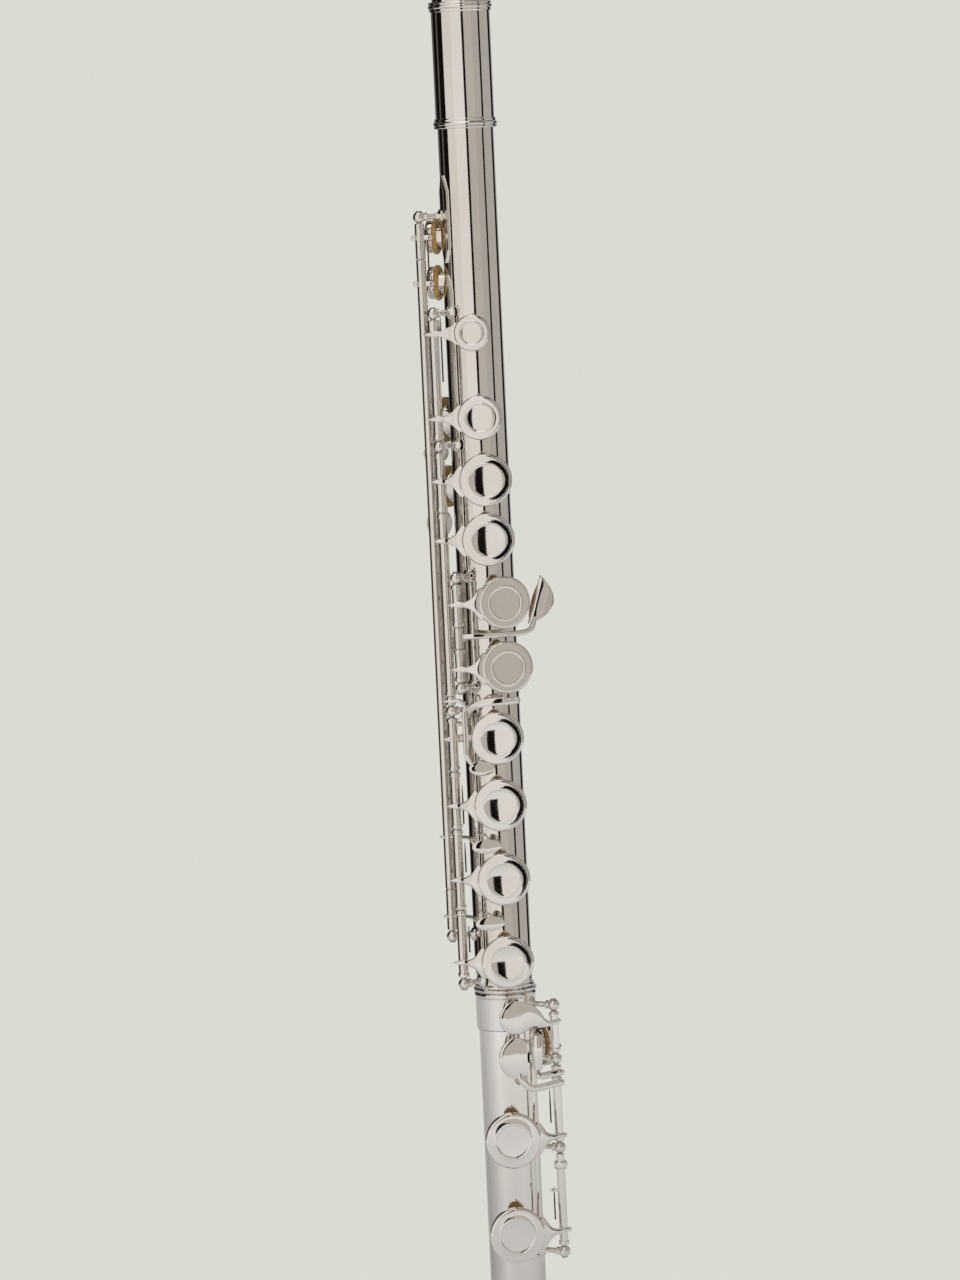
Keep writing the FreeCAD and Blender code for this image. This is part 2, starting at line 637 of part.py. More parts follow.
lip_skin = cut("lip_skin", dome("lip_outside", 0), dome("lip_inside", mm("lip_wall")))
lip_blank = common("lip_blank", [lip_skin, mouth_hole("lip_outline", "lip_long", "lip_wide")])
head_clear = add("Cone", "head_clear", upright(Vector(0, 0, mm("taper_low"))),
                 Radius1="tube_r", Radius2="head_top_r", Height="head_top - taper_low")
node(cut("lip_cut", lip_blank, fuse("lip_tools", [
    mouth_hole("lip_mouth", "mouth_long", "mouth_wide"), head_clear])), "lip_plate")

riser_wall = cut("riser_wall", mouth_hole("riser_outside", "mouth_long + 1.6", "mouth_wide + 1.6"),
                 fuse("riser_tools", [
                     mouth_hole("riser_mouth", "mouth_long", "mouth_wide"),
                     add("Cone", "riser_clear", upright(Vector(0, 0, mm("taper_low"))),
                         Radius1="tube_r", Radius2="head_top_r", Height="head_top - taper_low")]))
node(common("riser_common", [riser_wall, dome("riser_limit", mm("lip_wall"))]), "riser")

node(turned("crown", [
    (("screw_r", 0.05), ("head_top", 0.1)), (("head_top_r", 0.3), ("head_top", 0.1)),
    (("head_top_r", 0.9), ("head_top", 0.7)), (("head_top_r", 0.9), ("head_top", 1.7)),
    (("head_top_r", 0.2), ("head_top", 2.3)), (("head_top_r", 0.2), ("head_top", 3.1)),
    (("head_top_r", 1.1), ("head_top", 4.1)), (("head_top_r", 1.3), ("head_top", 9.5)),
    (("head_top_r", 1.1), ("head_top", 12.1)), (("head_top_r", 0.2), ("head_top", 13.1)),
    (("head_top_r", 0.2), ("head_top", 13.7)), (("head_top_r", -0.8), ("head_top", 14.7)),
    (("head_top_r", -4.5), ("head_top", 15.9)), (("tube_low", 0), ("head_top", 16.3)),
    (("tube_low", 0), ("head_top", 13.2)), (("screw_r", 0.05), ("head_top", 13.2))]), "crown")

CORK_LOW = mm("mouth_at") + 17.3
CORK_LONG = 15.0
CORK_PLATE = 1.6
cork_place = upright(Vector(0, 0, CORK_LOW))
node(cut("cork_cut", add("Cylinder", "cork_solid", cork_place, Radius="head_top_r - head_wall - 0.05",
                         Height=CORK_LONG),
         add("Cylinder", "cork_bore", cork_place, Radius="screw_r", Height=CORK_LONG)), "head_cork")
node(fuse("cork_screw_solid", [
    add("Cylinder", "screw_rod", upright(Vector(0, 0, CORK_LOW - CORK_PLATE)), Radius="screw_r",
        Height=f"head_top - {CORK_LOW - CORK_PLATE} + 12"),
    add("Cylinder", "lower_plate", upright(Vector(0, 0, CORK_LOW - CORK_PLATE)),
        Radius="head_top_r - head_wall - 0.15", Height=CORK_PLATE),
    add("Cylinder", "upper_plate", upright(Vector(0, 0, CORK_LOW + CORK_LONG)),
        Radius="head_top_r - head_wall - 0.15", Height=CORK_PLATE)]), "cork_screw")


# --- check and write --------------------------------------------------------

doc.recompute()
for made in doc.Objects:
    if "Invalid" in made.State or "Error" in made.State:
        raise RuntimeError(f"{made.Name} failed: {made.State}")
os.makedirs("parts", exist_ok=True)
for made in nodes:
    shape = made.Shape
    if shape.isNull() or not shape.isValid() or not shape.Solids:
        raise RuntimeError(f"{made.Label} is not a valid solid")
    shape.exportStep(f"parts/{made.Label}.step")
print(len(nodes), "sub-parts written")
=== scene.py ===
import math

import bmesh
import bpy
from mathutils import Matrix, Vector


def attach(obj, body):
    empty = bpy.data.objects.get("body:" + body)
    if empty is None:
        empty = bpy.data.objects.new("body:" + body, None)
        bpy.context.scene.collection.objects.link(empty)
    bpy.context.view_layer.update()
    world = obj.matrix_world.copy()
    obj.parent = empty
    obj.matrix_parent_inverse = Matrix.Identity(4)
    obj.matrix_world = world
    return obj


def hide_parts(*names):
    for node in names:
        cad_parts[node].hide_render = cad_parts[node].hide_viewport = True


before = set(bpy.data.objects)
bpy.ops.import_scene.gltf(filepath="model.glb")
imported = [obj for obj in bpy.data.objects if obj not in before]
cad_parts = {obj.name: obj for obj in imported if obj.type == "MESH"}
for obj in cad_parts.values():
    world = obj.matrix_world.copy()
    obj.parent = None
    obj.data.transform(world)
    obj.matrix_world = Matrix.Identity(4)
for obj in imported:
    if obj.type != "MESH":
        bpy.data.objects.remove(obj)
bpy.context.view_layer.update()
scene = bpy.context.scene
print("frame loaded:", len(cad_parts), "nodes")

# Everything is laid out in millimetres as the CAD is and turned to metres when a mesh is made.
# "azimuth" turns from -Y towards +X, "across" is to its right, "out" is away from the tube's axis.
perMetre = 1000.0
flute = dict(tubeRadius=9.95, boreRadius=9.5, ribRadius=10.75, padFace=12.36, cupStart=12.96,
             cupDeep=2.9, openDegrees=9.0, hingeRadius=1.7, footHingeRadius=1.5)
hingeLines = dict(main=(0.0, -16.0, 9.3), g=(16.0, -16.0, 9.3), thumb=(-136.0, -16.0, 9.3),
                  trill=(0.0, -18.5, 2.4), foot=(-10.0, 17.4, 9.5))


thumbTurn = hingeLines["thumb"][0]
footTurn = hingeLines["foot"][0]


def spot(azimuth, across, out, high):
    turn = math.radians(azimuth)
    return Vector((across * math.cos(turn) + out * math.sin(turn),
                   across * math.sin(turn) - out * math.cos(turn), high))


def facing(azimuth, across, out, high):
    # local X is across, local Y is up the tube and local Z points out of it
    turn = math.radians(azimuth)
    place = Matrix(((math.cos(turn), 0, math.sin(turn)), (math.sin(turn), 0, -math.cos(turn)),
                    (0, 1, 0))).to_4x4()
    place.translation = spot(azimuth, across, out, high)
    return place


def upright(point):
    return Matrix.Translation(point)


def hingePoint(hinge, high):
    return spot(*hingeLines[hinge], high)


def hingeTurn(hinge, degrees):
    point = hingePoint(hinge, 0)
    return Matrix.Translation(point) @ Matrix.Rotation(math.radians(degrees), 4, "Z") @ (
        Matrix.Translation(-point))



def linearColour(text):
    parts = [int(text[i:i + 2], 16) / 255 for i in (1, 3, 5)]
    return tuple(c / 12.92 if c <= 0.04045 else ((c + 0.055) / 1.055) ** 2.4 for c in parts) + (1,)


def addNode(tree, kind, settings=None, links=None, **values):
    made = tree.nodes.new(kind)
    for name, value in (settings or {}).items():
        setattr(made, name, value)
    for name, value in values.items():
        made.inputs[name.replace("_", " ")].default_value = value
    for name, source in (links or {}).items():
        tree.links.new(source, made.inputs[name])
    return made


def newMaterial(name):
    made = bpy.data.materials.new(name)
    made.use_nodes = True
    tree = made.node_tree
    shader = tree.nodes["Principled BSDF"]
    place = addNode(tree, "ShaderNodeTexCoord").outputs["Object"]
    return made, tree, shader, place


def ramp(tree, source, low, high, colours):
    made = addNode(tree, "ShaderNodeValToRGB", links={"Fac": source})
    for element, at, colour in zip(made.color_ramp.elements, (low, high), colours):
        element.position = at
        element.color = colour
    return made.outputs["Color"]


def gray(value):
    return (value, value, value, 1)


def polishedMetal(name, finish):
    # buffed plate: the mirror is broken only by cloth haze, fine wipe marks and faint handling film
    made, tree, shader, place = newMaterial(name)
    film = addNode(tree, "ShaderNodeTexNoise", links={"Vector": place},
                   Scale=perMetre / finish["filmMm"], Detail=4.0, Roughness=0.6)
    tint = ramp(tree, film.outputs["Fac"], 0.35, 0.75,
                (linearColour(finish["colour"]), linearColour(finish["filmColour"])))
    haze = addNode(tree, "ShaderNodeTexNoise", links={"Vector": place},
                   Scale=perMetre / finish["hazeMm"], Detail=5.0, Roughness=0.65)
    rough = ramp(tree, haze.outputs["Fac"], 0.3, 0.8,
                 (gray(finish["roughLow"]), gray(finish["roughHigh"])))
    stretch = addNode(tree, "ShaderNodeMapping", links={"Vector": place})
    stretch.inputs["Scale"].default_value = (1.0, 1.0, 1.0 / finish["wipeStretch"])
    wipe = addNode(tree, "ShaderNodeTexNoise", links={"Vector": stretch.outputs["Vector"]},
                   Scale=perMetre / finish["wipeMm"], Detail=3.0)
    bump = addNode(tree, "ShaderNodeBump", links={"Height": wipe.outputs["Fac"]},
                   Strength=finish["bump"], Distance=0.00002)
    tree.links.new(tint, shader.inputs["Base Color"])
    tree.links.new(rough, shader.inputs["Roughness"])
    tree.links.new(bump.outputs["Normal"], shader.inputs["Normal"])
    shader.inputs["Metallic"].default_value = 1.0
    return made


# silver plate over nickel silver, buffed on a soft mop: nearly a mirror, a little warm
silverPlate = polishedMetal("silverPlateBuffed", dict(
    colour="#F7F3EE", filmColour="#F0EAE2", filmMm=26.0, hazeMm=9.0, roughLow=0.035,
    roughHigh=0.085, wipeMm=0.5, wipeStretch=14.0, bump=0.12))
# hardened steel rod, ground and lightly oiled
groundSteel = polishedMetal("hingeSteelGround", dict(
    colour="#B9B6B2", filmColour="#8E8A84", filmMm=4.0, hazeMm=1.5, roughLow=0.16,
    roughHigh=0.3, wipeMm=0.3, wipeStretch=1.0, bump=0.2))
# spring wire blued by heat: dark blue brown with a satin shine
bluedSpring = polishedMetal("springSteelBlued", dict(
    colour="#4A4A58", filmColour="#6A5540", filmMm=2.5, hazeMm=1.5, roughLow=0.2,
    roughHigh=0.35, wipeMm=0.3, wipeStretch=6.0, bump=0.15))


def padSkinMaterial():
    # goldbeater's skin over wool felt: thin yellow membrane with wrinkles and cloudy patches
    made, tree, shader, place = newMaterial("padSkinYellow")
    cloud = addNode(tree, "ShaderNodeTexNoise", links={"Vector": place},
                    Scale=perMetre / 2.2, Detail=6.0, Roughness=0.6)
    colour = ramp(tree, cloud.outputs["Fac"], 0.3, 0.75,
                  (linearColour("#C99A3E"), linearColour("#E4C277")))
    wrinkle = addNode(tree, "ShaderNodeTexVoronoi", {"feature": "DISTANCE_TO_EDGE"},
                      {"Vector": place}, Scale=perMetre / 0.9)
    bump = addNode(tree, "ShaderNodeBump", links={"Height": wrinkle.outputs["Distance"]},
                   Strength=0.25, Distance=0.00004)
    tree.links.new(colour, shader.inputs["Base Color"])
    tree.links.new(bump.outputs["Normal"], shader.inputs["Normal"])
    shader.inputs["Roughness"].default_value = 0.38
    shader.inputs["Subsurface Weight"].default_value = 0.15
    shader.inputs["Subsurface Scale"].default_value = 0.0008
    shader.inputs["Coat Weight"].default_value = 0.3
    shader.inputs["Coat Roughness"].default_value = 0.25
    return made


def corkMaterial():
    # natural bark cork, sanded: tan with dark pores about half a millimetre across
    made, tree, shader, place = newMaterial("corkSanded")
    grain = addNode(tree, "ShaderNodeTexVoronoi", links={"Vector": place}, Scale=perMetre / 0.55)
    cloud = addNode(tree, "ShaderNodeTexNoise", links={"Vector": place},
                    Scale=perMetre / 1.6, Detail=5.0)
    tan = ramp(tree, cloud.outputs["Fac"], 0.3, 0.7,
               (linearColour("#8A5A34"), linearColour("#B98552")))
    pores = ramp(tree, grain.outputs["Distance"], 0.05, 0.3, (gray(0.25), gray(1.0)))
    colour = addNode(tree, "ShaderNodeMix", {"data_type": "RGBA", "blend_type": "MULTIPLY"})
    colour.inputs[0].default_value = 1.0
    tree.links.new(tan, colour.inputs[6])
    tree.links.new(pores, colour.inputs[7])
    bump = addNode(tree, "ShaderNodeBump", links={"Height": grain.outputs["Distance"]},
                   Strength=0.5, Distance=0.00015)
    tree.links.new(colour.outputs[2], shader.inputs["Base Color"])
    tree.links.new(bump.outputs["Normal"], shader.inputs["Normal"])
    shader.inputs["Roughness"].default_value = 0.85
    return made


padSkin = padSkinMaterial()
corkSanded = corkMaterial()
print("materials made")


def addInto(whole, shape):
    # moves one finished shape into the mesh that gathers a piece
    step = bpy.data.meshes.new("step")
    shape.to_mesh(step)
    shape.free()
    whole.from_mesh(step)
    bpy.data.meshes.remove(step)


def turnedShape(outline, place, steps=64):
    # outline of (radius, along local Z) in order round the section, spun about local Z
    shape = bmesh.new()
    verts = [shape.verts.new((radius, 0.0, along)) for radius, along in outline]
    edges = [shape.edges.new(pair) for pair in zip(verts, verts[1:])]
    if outline[0][0] > 0 or outline[-1][0] > 0:
        edges.append(shape.edges.new((verts[-1], verts[0])))
    bmesh.ops.spin(shape, geom=verts + edges, axis=(0, 0, 1), cent=(0, 0, 0), steps=steps,
                   angle=math.tau, use_merge=True)
    bmesh.ops.remove_doubles(shape, verts=shape.verts, dist=0.0005)
    bmesh.ops.recalc_face_normals(shape, faces=shape.faces)
    bmesh.ops.transform(shape, matrix=place, verts=shape.verts)
    return shape


def loftShape(stations, normal, sides=12, square=0.0):
    # stations of (point, half width, half thickness); the thickness lies along normal
    shape = bmesh.new()
    points = [station[0] for station in stations]
    rings = []
    for i, (point, halfWide, halfThick) in enumerate(stations):
        along = (points[min(i + 1, len(points) - 1)] - points[max(i - 1, 0)]).normalized()
        side = along.cross(normal).normalized()
        upward = side.cross(along).normalized()
        place = Matrix((side * halfWide, upward * halfThick, along)).transposed().to_4x4()
        place.translation = point
        ring = bmesh.ops.create_circle(shape, cap_ends=False, segments=sides, radius=1.0)["verts"]
        for vert in ring:  # squarer than an ellipse
            x, y, _ = vert.co
            reach = (abs(x) ** (2 + square) + abs(y) ** (2 + square)) ** (1 / (2 + square))
            vert.co = Vector((x / reach, y / reach, 0))
        bmesh.ops.transform(shape, matrix=place, verts=ring)
        loop = {e for v in ring for e in v.link_edges}
        rings.append(list(loop))
    for first, second in zip(rings, rings[1:]):
        bmesh.ops.bridge_loops(shape, edges=first + second)
    for ring in (rings[0], rings[-1]):
        bmesh.ops.contextual_create(shape, geom=ring)
    bmesh.ops.recalc_face_normals(shape, faces=shape.faces)
    return shape


def smoothStations(stations, per=5):
    # rounds a loft's route and its widths with a Catmull-Rom curve
    made = []
    for i in range(len(stations) - 1):
        four = [stations[max(i - 1, 0)], stations[i], stations[i + 1],
                stations[min(i + 2, len(stations) - 1)]]
        for k in range(per):
            t = k / per
            weights = (-0.5 * t + t * t - 0.5 * t ** 3, 1 - 2.5 * t * t + 1.5 * t ** 3,
                       0.5 * t + 2 * t * t - 1.5 * t ** 3, -0.5 * t * t + 0.5 * t ** 3)
            point = Vector((0, 0, 0))
            wide = thick = 0.0
            for weight, (p, w, h) in zip(weights, four):
                point += p * weight
                wide += w * weight
                thick += h * weight
            made.append((point, max(wide, 0.05), max(thick, 0.05)))
    made.append(stations[-1])
    return made


def touchShape(place, halfAcross, halfUp, halfThick, taper=0.0, dish=0.0, bend=0.0):
    # oval finger plate from a flattened ball; taper narrows one end and dish hollows the face
    shape = bmesh.new()
    bmesh.ops.create_uvsphere(shape, u_segments=56, v_segments=32, radius=1.0)
    for vert in shape.verts:
        x, y, z = vert.co
        reach = math.hypot(x, y)
        flat = math.copysign(abs(z) ** 0.6, z) * (1 - 0.25 * reach ** 4)
        x *= 1 + taper * y
        lift = -dish * (1 - reach * reach) + bend * x * x
        vert.co = Vector((x * halfAcross, y * halfUp, flat * halfThick + lift))
    bmesh.ops.transform(shape, matrix=place, verts=shape.verts)
    return shape


def plateShape(place, halfThick, mould):
    # flat touch with a crisp rounded rim; mould turns a point of the unit disc into millimetres
    shape = turnedShape([(0, -1), (0.5, -1), (0.8, -1), (0.93, -0.95), (0.98, -0.6), (1, 0),
                         (0.98, 0.6), (0.93, 0.95), (0.8, 1), (0.5, 1), (0, 1)],
                        Matrix.Identity(4), 72)
    for vert in shape.verts:
        x, y, z = vert.co
        across, up, lift = mould(x, y)
        vert.co = Vector((across, up, lift + z * halfThick))
    bmesh.ops.transform(shape, matrix=place, verts=shape.verts)
    return shape


def newPiece(name, whole, body, material, stands=(), sharp=35.0):
    # whole is in millimetres; the object stays at the origin with its place in its mesh
    bmesh.ops.scale(whole, vec=(1 / perMetre,) * 3, verts=whole.verts)
    mesh = bpy.data.meshes.new(name)
    whole.to_mesh(mesh)
    whole.free()
    mesh.materials.append(material)
    mesh.polygons.foreach_set("use_smooth", [True] * len(mesh.polygons))
    mesh.set_sharp_from_angle(angle=math.radians(sharp))
    made = bpy.data.objects.new(name, mesh)
    scene.collection.objects.link(made)
    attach(made, body)
    if stands:
        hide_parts(*stands)
    return made


toneHoles = dict(
    body=dict(c_sharp=(-9.6, 361.7, 6.5), c=(-4.3, 331.6, 7.9), a_sharp=(0.0, 309.4, 9.4),
              a=(0.0, 288.2, 9.4), g_upper=(16.0, 265.5, 9.4), g_lower=(16.0, 242.3, 9.4),
              f_sharp=(0.0, 217.1, 9.4), f=(0.0, 193.1, 9.4), e=(0.0, 166.3, 9.4),
              d=(0.0, 136.4, 9.4), thumb_b=(-136.0, 330.0, 8.2),
              thumb_b_flat=(-136.0, 306.0, 7.6), g_sharp=(-136.0, 254.0, 8.2),
              trill_d_sharp=(-110.0, 395.8, 5.8), trill_d=(-110.0, 379.4, 5.8)),
    foot=dict(foot_c=(-10.0, 37.0, 10.1), foot_c_sharp=(-10.0, 71.6, 10.1),
              foot_d_sharp=(102.0, 103.0, 8.4)))
tubeFacts = dict(ringEvery=3.0, steps=128, cupOverHole=2.4, chimneyWall=0.45, rimOut=12.3,
                 rimBead=0.3)


def holedTube(name, body, low, high, outline, cutters, chimneys, stands):
    # spun wall, holes cut by a boolean, then the drawn chimneys with their rolled rims
    wall = turnedShape(outline, Matrix.Identity(4), tubeFacts["steps"])
    height = low + tubeFacts["ringEvery"]
    while height < high:
        bmesh.ops.bisect_plane(wall, geom=wall.verts[:] + wall.edges[:] + wall.faces[:],
                               plane_co=(0, 0, height), plane_no=(0, 0, 1))
        height += tubeFacts["ringEvery"]
    made = newPiece(name, wall, body, silverPlate, stands)
    if cutters:
        tools = bmesh.new()
        for shape in cutters:
            addInto(tools, shape)
        tool = newPiece(name + "Cutter", tools, body, silverPlate)
        cut = made.modifiers.new("holes", "BOOLEAN")
        cut.object = tool
        cut.solver = "EXACT"
        ready = made.evaluated_get(bpy.context.evaluated_depsgraph_get())
        mesh = bpy.data.meshes.new_from_object(ready)
        made.modifiers.clear()
        made.data = mesh
        bpy.data.objects.remove(tool)
    if chimneys:
        whole = bmesh.new()
        for shape in chimneys:
            addInto(whole, shape)
        bmesh.ops.scale(whole, vec=(1 / perMetre,) * 3, verts=whole.verts)
        whole.from_mesh(made.data)
        whole.to_mesh(made.data)
        whole.free()
    made.data.polygons.foreach_set("use_smooth", [True] * len(made.data.polygons))
    made.data.set_sharp_from_angle(angle=math.radians(35))
    return made


def roundCutter(place, radius, long, wide=1.0):
    shape = bmesh.new()
    bmesh.ops.create_cone(shape, cap_ends=True, segments=72, radius1=radius, radius2=radius,
                          depth=long)
    bmesh.ops.scale(shape, vec=(wide, 1, 1), verts=shape.verts)
    bmesh.ops.transform(shape, matrix=place, verts=shape.verts)
    return shape


def chimney(azimuth, high, cupRadius):
    hole = cupRadius - tubeFacts["cupOverHole"]
    wall, top, bead = tubeFacts["chimneyWall"], tubeFacts["rimOut"], tubeFacts["rimBead"]
    lowest = math.sqrt(flute["boreRadius"] ** 2 - (hole + wall) ** 2) + 0.15
    ring = [(hole, lowest), (hole, top - bead * 1.2)]
    for i in range(9):
        turn = math.radians(200 - 245 * i / 8)
        ring.append((hole + wall * 0.6 + bead * math.cos(turn), top - bead + bead * math.sin(turn)))
    ring += [(hole + wall, top - bead * 2), (hole + wall, lowest)]
    return turnedShape(ring, facing(azimuth, 0, 0, high), 72)


def tubeOutline(low, high):
    outer, inner = flute["tubeRadius"], flute["boreRadius"]
    return [(inner, low + 0.1), (inner + 0.1, low), (outer - 0.1, low), (outer, low + 0.1),
            (outer, high - 0.1), (outer - 0.1, high), (inner + 0.1, high), (inner, high - 0.1)]


for part, (low, high) in dict(foot=(0.0, 111.4), body=(111.8, 441.0)).items():
    holes = toneHoles[part].values()
    holedTube(part + "Tube", part + "_joint", low, high, tubeOutline(low, high),
              [roundCutter(facing(azimuth, 0, 10, at), cup - tubeFacts["cupOverHole"] + 0.2, 14)
               for azimuth, at, cup in holes],
              [chimney(*hole) for hole in holes], [part + "_tube"])
print("tubes made")


def ringPiece(name, body, outline, stands=()):
    return newPiece(name, turnedShape(outline, Matrix.Identity(4), 128), body, silverPlate, stands,
                    sharp=28)


def rounded(corners, radius=0.18, steps=4):
    # eases every corner of a closed outline with a small arc-like curve
    made = []
    count = len(corners)
    for i in range(count):
        before, here, after = (Vector(corners[(i + k) % count]) for k in (-1, 0, 1))
        reach = min(radius, (before - here).length * 0.45, (after - here).length * 0.45)
        start = here + (before - here).normalized() * reach
        end = here + (after - here).normalized() * reach
        for k in range(steps + 1):
            t = k / steps
            made.append(tuple(start * (1 - t) ** 2 + here * 2 * t * (1 - t) + end * t * t))
    return made


ringPiece("footSocket", "foot_joint", rounded([
    (9.95, 110.0), (9.95, 111.4), (10.0, 111.4), (10.0, 123.6), (10.85, 123.6), (11.1, 123.1),
    (11.1, 122.3), (10.75, 121.7), (10.75, 110.5), (10.35, 110.0)], 0.15), ["foot_socket"])
ringPiece("bodyRing", "body_joint", rounded([
    (9.95, 123.8), (10.95, 123.8), (11.3, 124.4), (11.3, 125.0), (10.55, 125.5), (10.75, 126.1),
    (10.25, 126.7), (9.95, 126.7)], 0.2), ["body_ring"])
ringPiece("barrel", "body_joint", rounded([
    (9.95, 434.2), (9.95, 441.0), (10.0, 441.0), (10.0, 478.5), (10.35, 478.5), (10.45, 478.2),
    (10.45, 434.6), (10.25, 434.2)], 0.12), ["barrel"])
beads = ((0.0, 0.0), (0.35, 0.0), (0.78, 0.25), (0.78, 0.7), (0.4, 0.95), (0.95, 1.35),
         (0.95, 2.05), (0.42, 2.45), (0.58, 2.95), (0.3, 3.6), (0.0, 3.6))
barrelBeads = bmesh.new()
for edge, way in ((433.8, 1), (478.5, -1)):
    addInto(barrelBeads, turnedShape(rounded([(10.45 + out, edge + way * up) for out, up in beads],
                                             0.3), Matrix.Identity(4), 128))
newPiece("barrelBeads", barrelBeads, "body_joint", silverPlate, ["barrel_rings"], sharp=28)

ribFacts = dict(upperRib=(-70.0, 5.4, 386.5, 417.4), mainRib=(-70.0, 5.4, 126.9, 382.2),
                gRib=(-43.8, 3.2, 231.5, 278.5),
                thumbRib=(-195.8, 4.4, 291.0, 347.5), footRib=(52.4, 2.4, 24.0, 109.8))


def ribShape(azimuth, width, low, high):
    # strip bent to the tube, with eased long edges and pointed ends
    half = math.degrees(width / 2 / flute["ribRadius"])
    stations = []
    for at, share in ((low, 0.08), (low + 2.2, 0.5), (low + 5.6, 1.0), (high - 5.6, 1.0),
                      (high - 2.2, 0.5), (high, 0.08)):
        stations.append((at, share))
    shape = bmesh.new()
    rows = []
    for at, share in stations:
        row = []
        for side, out in ((-1, 9.9), (-1, 10.55), (-0.93, 10.75), (-0.5, 10.8), (0, 10.82),
                          (0.5, 10.8), (0.93, 10.75), (1, 10.55), (1, 9.9)):
            row.append(shape.verts.new(spot(azimuth + half * side * share, 0, out, at)))
        rows.append([shape.edges.new(pair) for pair in zip(row, row[1:] + row[:1])])
    for first, second in zip(rows, rows[1:]):
        bmesh.ops.bridge_loops(shape, edges=first + second)
    for row in (rows[0], rows[-1]):
        bmesh.ops.contextual_create(shape, geom=row)
    bmesh.ops.recalc_face_normals(shape, faces=shape.faces)
    return shape


bodyRibs = bmesh.new()
for name in ("upperRib", "mainRib", "gRib", "thumbRib"):
    addInto(bodyRibs, ribShape(*ribFacts[name]))
newPiece("bodyRibs", bodyRibs, "body_joint", silverPlate, ["body_ribs"])
newPiece("footRib", ribShape(*ribFacts["footRib"]), "foot_joint", silverPlate, ["foot_rib"])

postHeights = dict(main=(128.4, 227.0, 321.7, 368.9), trill=(144.9, 403.1), g=(235.4, 274.9),
                   thumb=(297.5, 342.0), foot=(28.9, 67.1, 99.5, 119.1))


def postShape(hinge, high):
    # turned post: flared foot, waisted stem, collar and ball
    azimuth, across, out = hingeLines[hinge]
    reach = math.hypot(across, out)
    lean = azimuth + math.degrees(math.atan2(across, out))
    outline = [(0.0, 10.4), (2.45, 10.4), (2.45, 10.95), (2.2, 11.25), (1.55, 11.6), (1.15, 12.1),
               (0.95, 12.8), (0.95, reach - 3.4), (1.1, reach - 3.1), (1.5, reach - 2.85),
               (1.55, reach - 2.55), (1.3, reach - 2.25), (1.15, reach - 1.85)]
    for i in range(17):
        turn = math.radians(-58 + 148 * i / 16)
        outline.append((2.12 * math.cos(turn), reach + 2.12 * math.sin(turn)))
    outline[-1] = (0.0, reach + 2.12)
    return turnedShape(outline, facing(lean, 0, 0, high), 48)


for piece, body, hinges in (("bodyPosts", "body_joint", ("main", "trill", "g", "thumb")),
                            ("footPosts", "foot_joint", ("foot",))):
    group = bmesh.new()
    for hinge in hinges:
        for high in postHeights[hinge]:
            addInto(group, postShape(hinge, high))
    newPiece(piece, group, body, silverPlate, [body.replace("_joint", "_posts")])


def steelShape(hinge):
    # rod with a slotted head at each end, standing just proud of the end balls
    low, high = postHeights[hinge][0] - 2.2, postHeights[hinge][-1] + 2.2
    shape = turnedShape([(0, low), (0.95, low), (1.05, low + 0.1), (1.05, low + 0.8), (0.9, low + 0.9),
                         (0.9, high - 0.9), (1.05, high - 0.8), (1.05, high - 0.1), (0.95, high),
                         (0, high)], upright(hingePoint(hinge, 0)), 32)
    return shape


bodySteels = bmesh.new()
for hinge in ("main", "trill", "g", "thumb"):
    addInto(bodySteels, steelShape(hinge))
newPiece("bodySteels", bodySteels, "body_joint", groundSteel, ["body_steels"])
newPiece("footSteel", steelShape("foot"), "foot_joint", groundSteel, ["foot_hinge_steel"])
print("ribs, posts and steels made")

allHoles = {**toneHoles["body"], **toneHoles["foot"]}


def cupShape(name, flat=False):
    # spun cup: rolled edge, flat rim, fine raised ring and a shallow finger dish
    azimuth, high, radius = allHoles[name]
    deep = flute["cupDeep"]
    ring = radius * 0.615
    hollow = 0.1 if flat else 0.46
    outline = [(0.0, deep - 0.1 - hollow)]
    for share in (0.2, 0.4, 0.6, 0.75, 0.88, 0.96):
        outline.append((ring * share, deep - 0.1 - hollow * (1 - share ** 2.2)))
    outline += [(ring, deep + 0.02), (ring + 0.14, deep + 0.12), (ring + 0.34, deep + 0.12),
                (ring + 0.48, deep), (ring + 0.75, deep - 0.06), (radius - 1.25, deep - 0.1)]
    for i in range(9):
        turn = math.radians(90 - 90 * i / 8)
        outline.append((radius - 1.0 + 1.0 * math.cos(turn), deep - 1.1 + 1.0 * math.sin(turn)))
    outline += [(radius, 0.35), (radius - 0.1, 0.05), (radius - 0.3, 0.0), (radius - 0.6, 0.05),
                (radius - 0.7, 0.3), (radius - 0.7, 1.65), (0.0, 1.65)]
    return turnedShape(outline, facing(azimuth, 0, flute["cupStart"], high), 96)


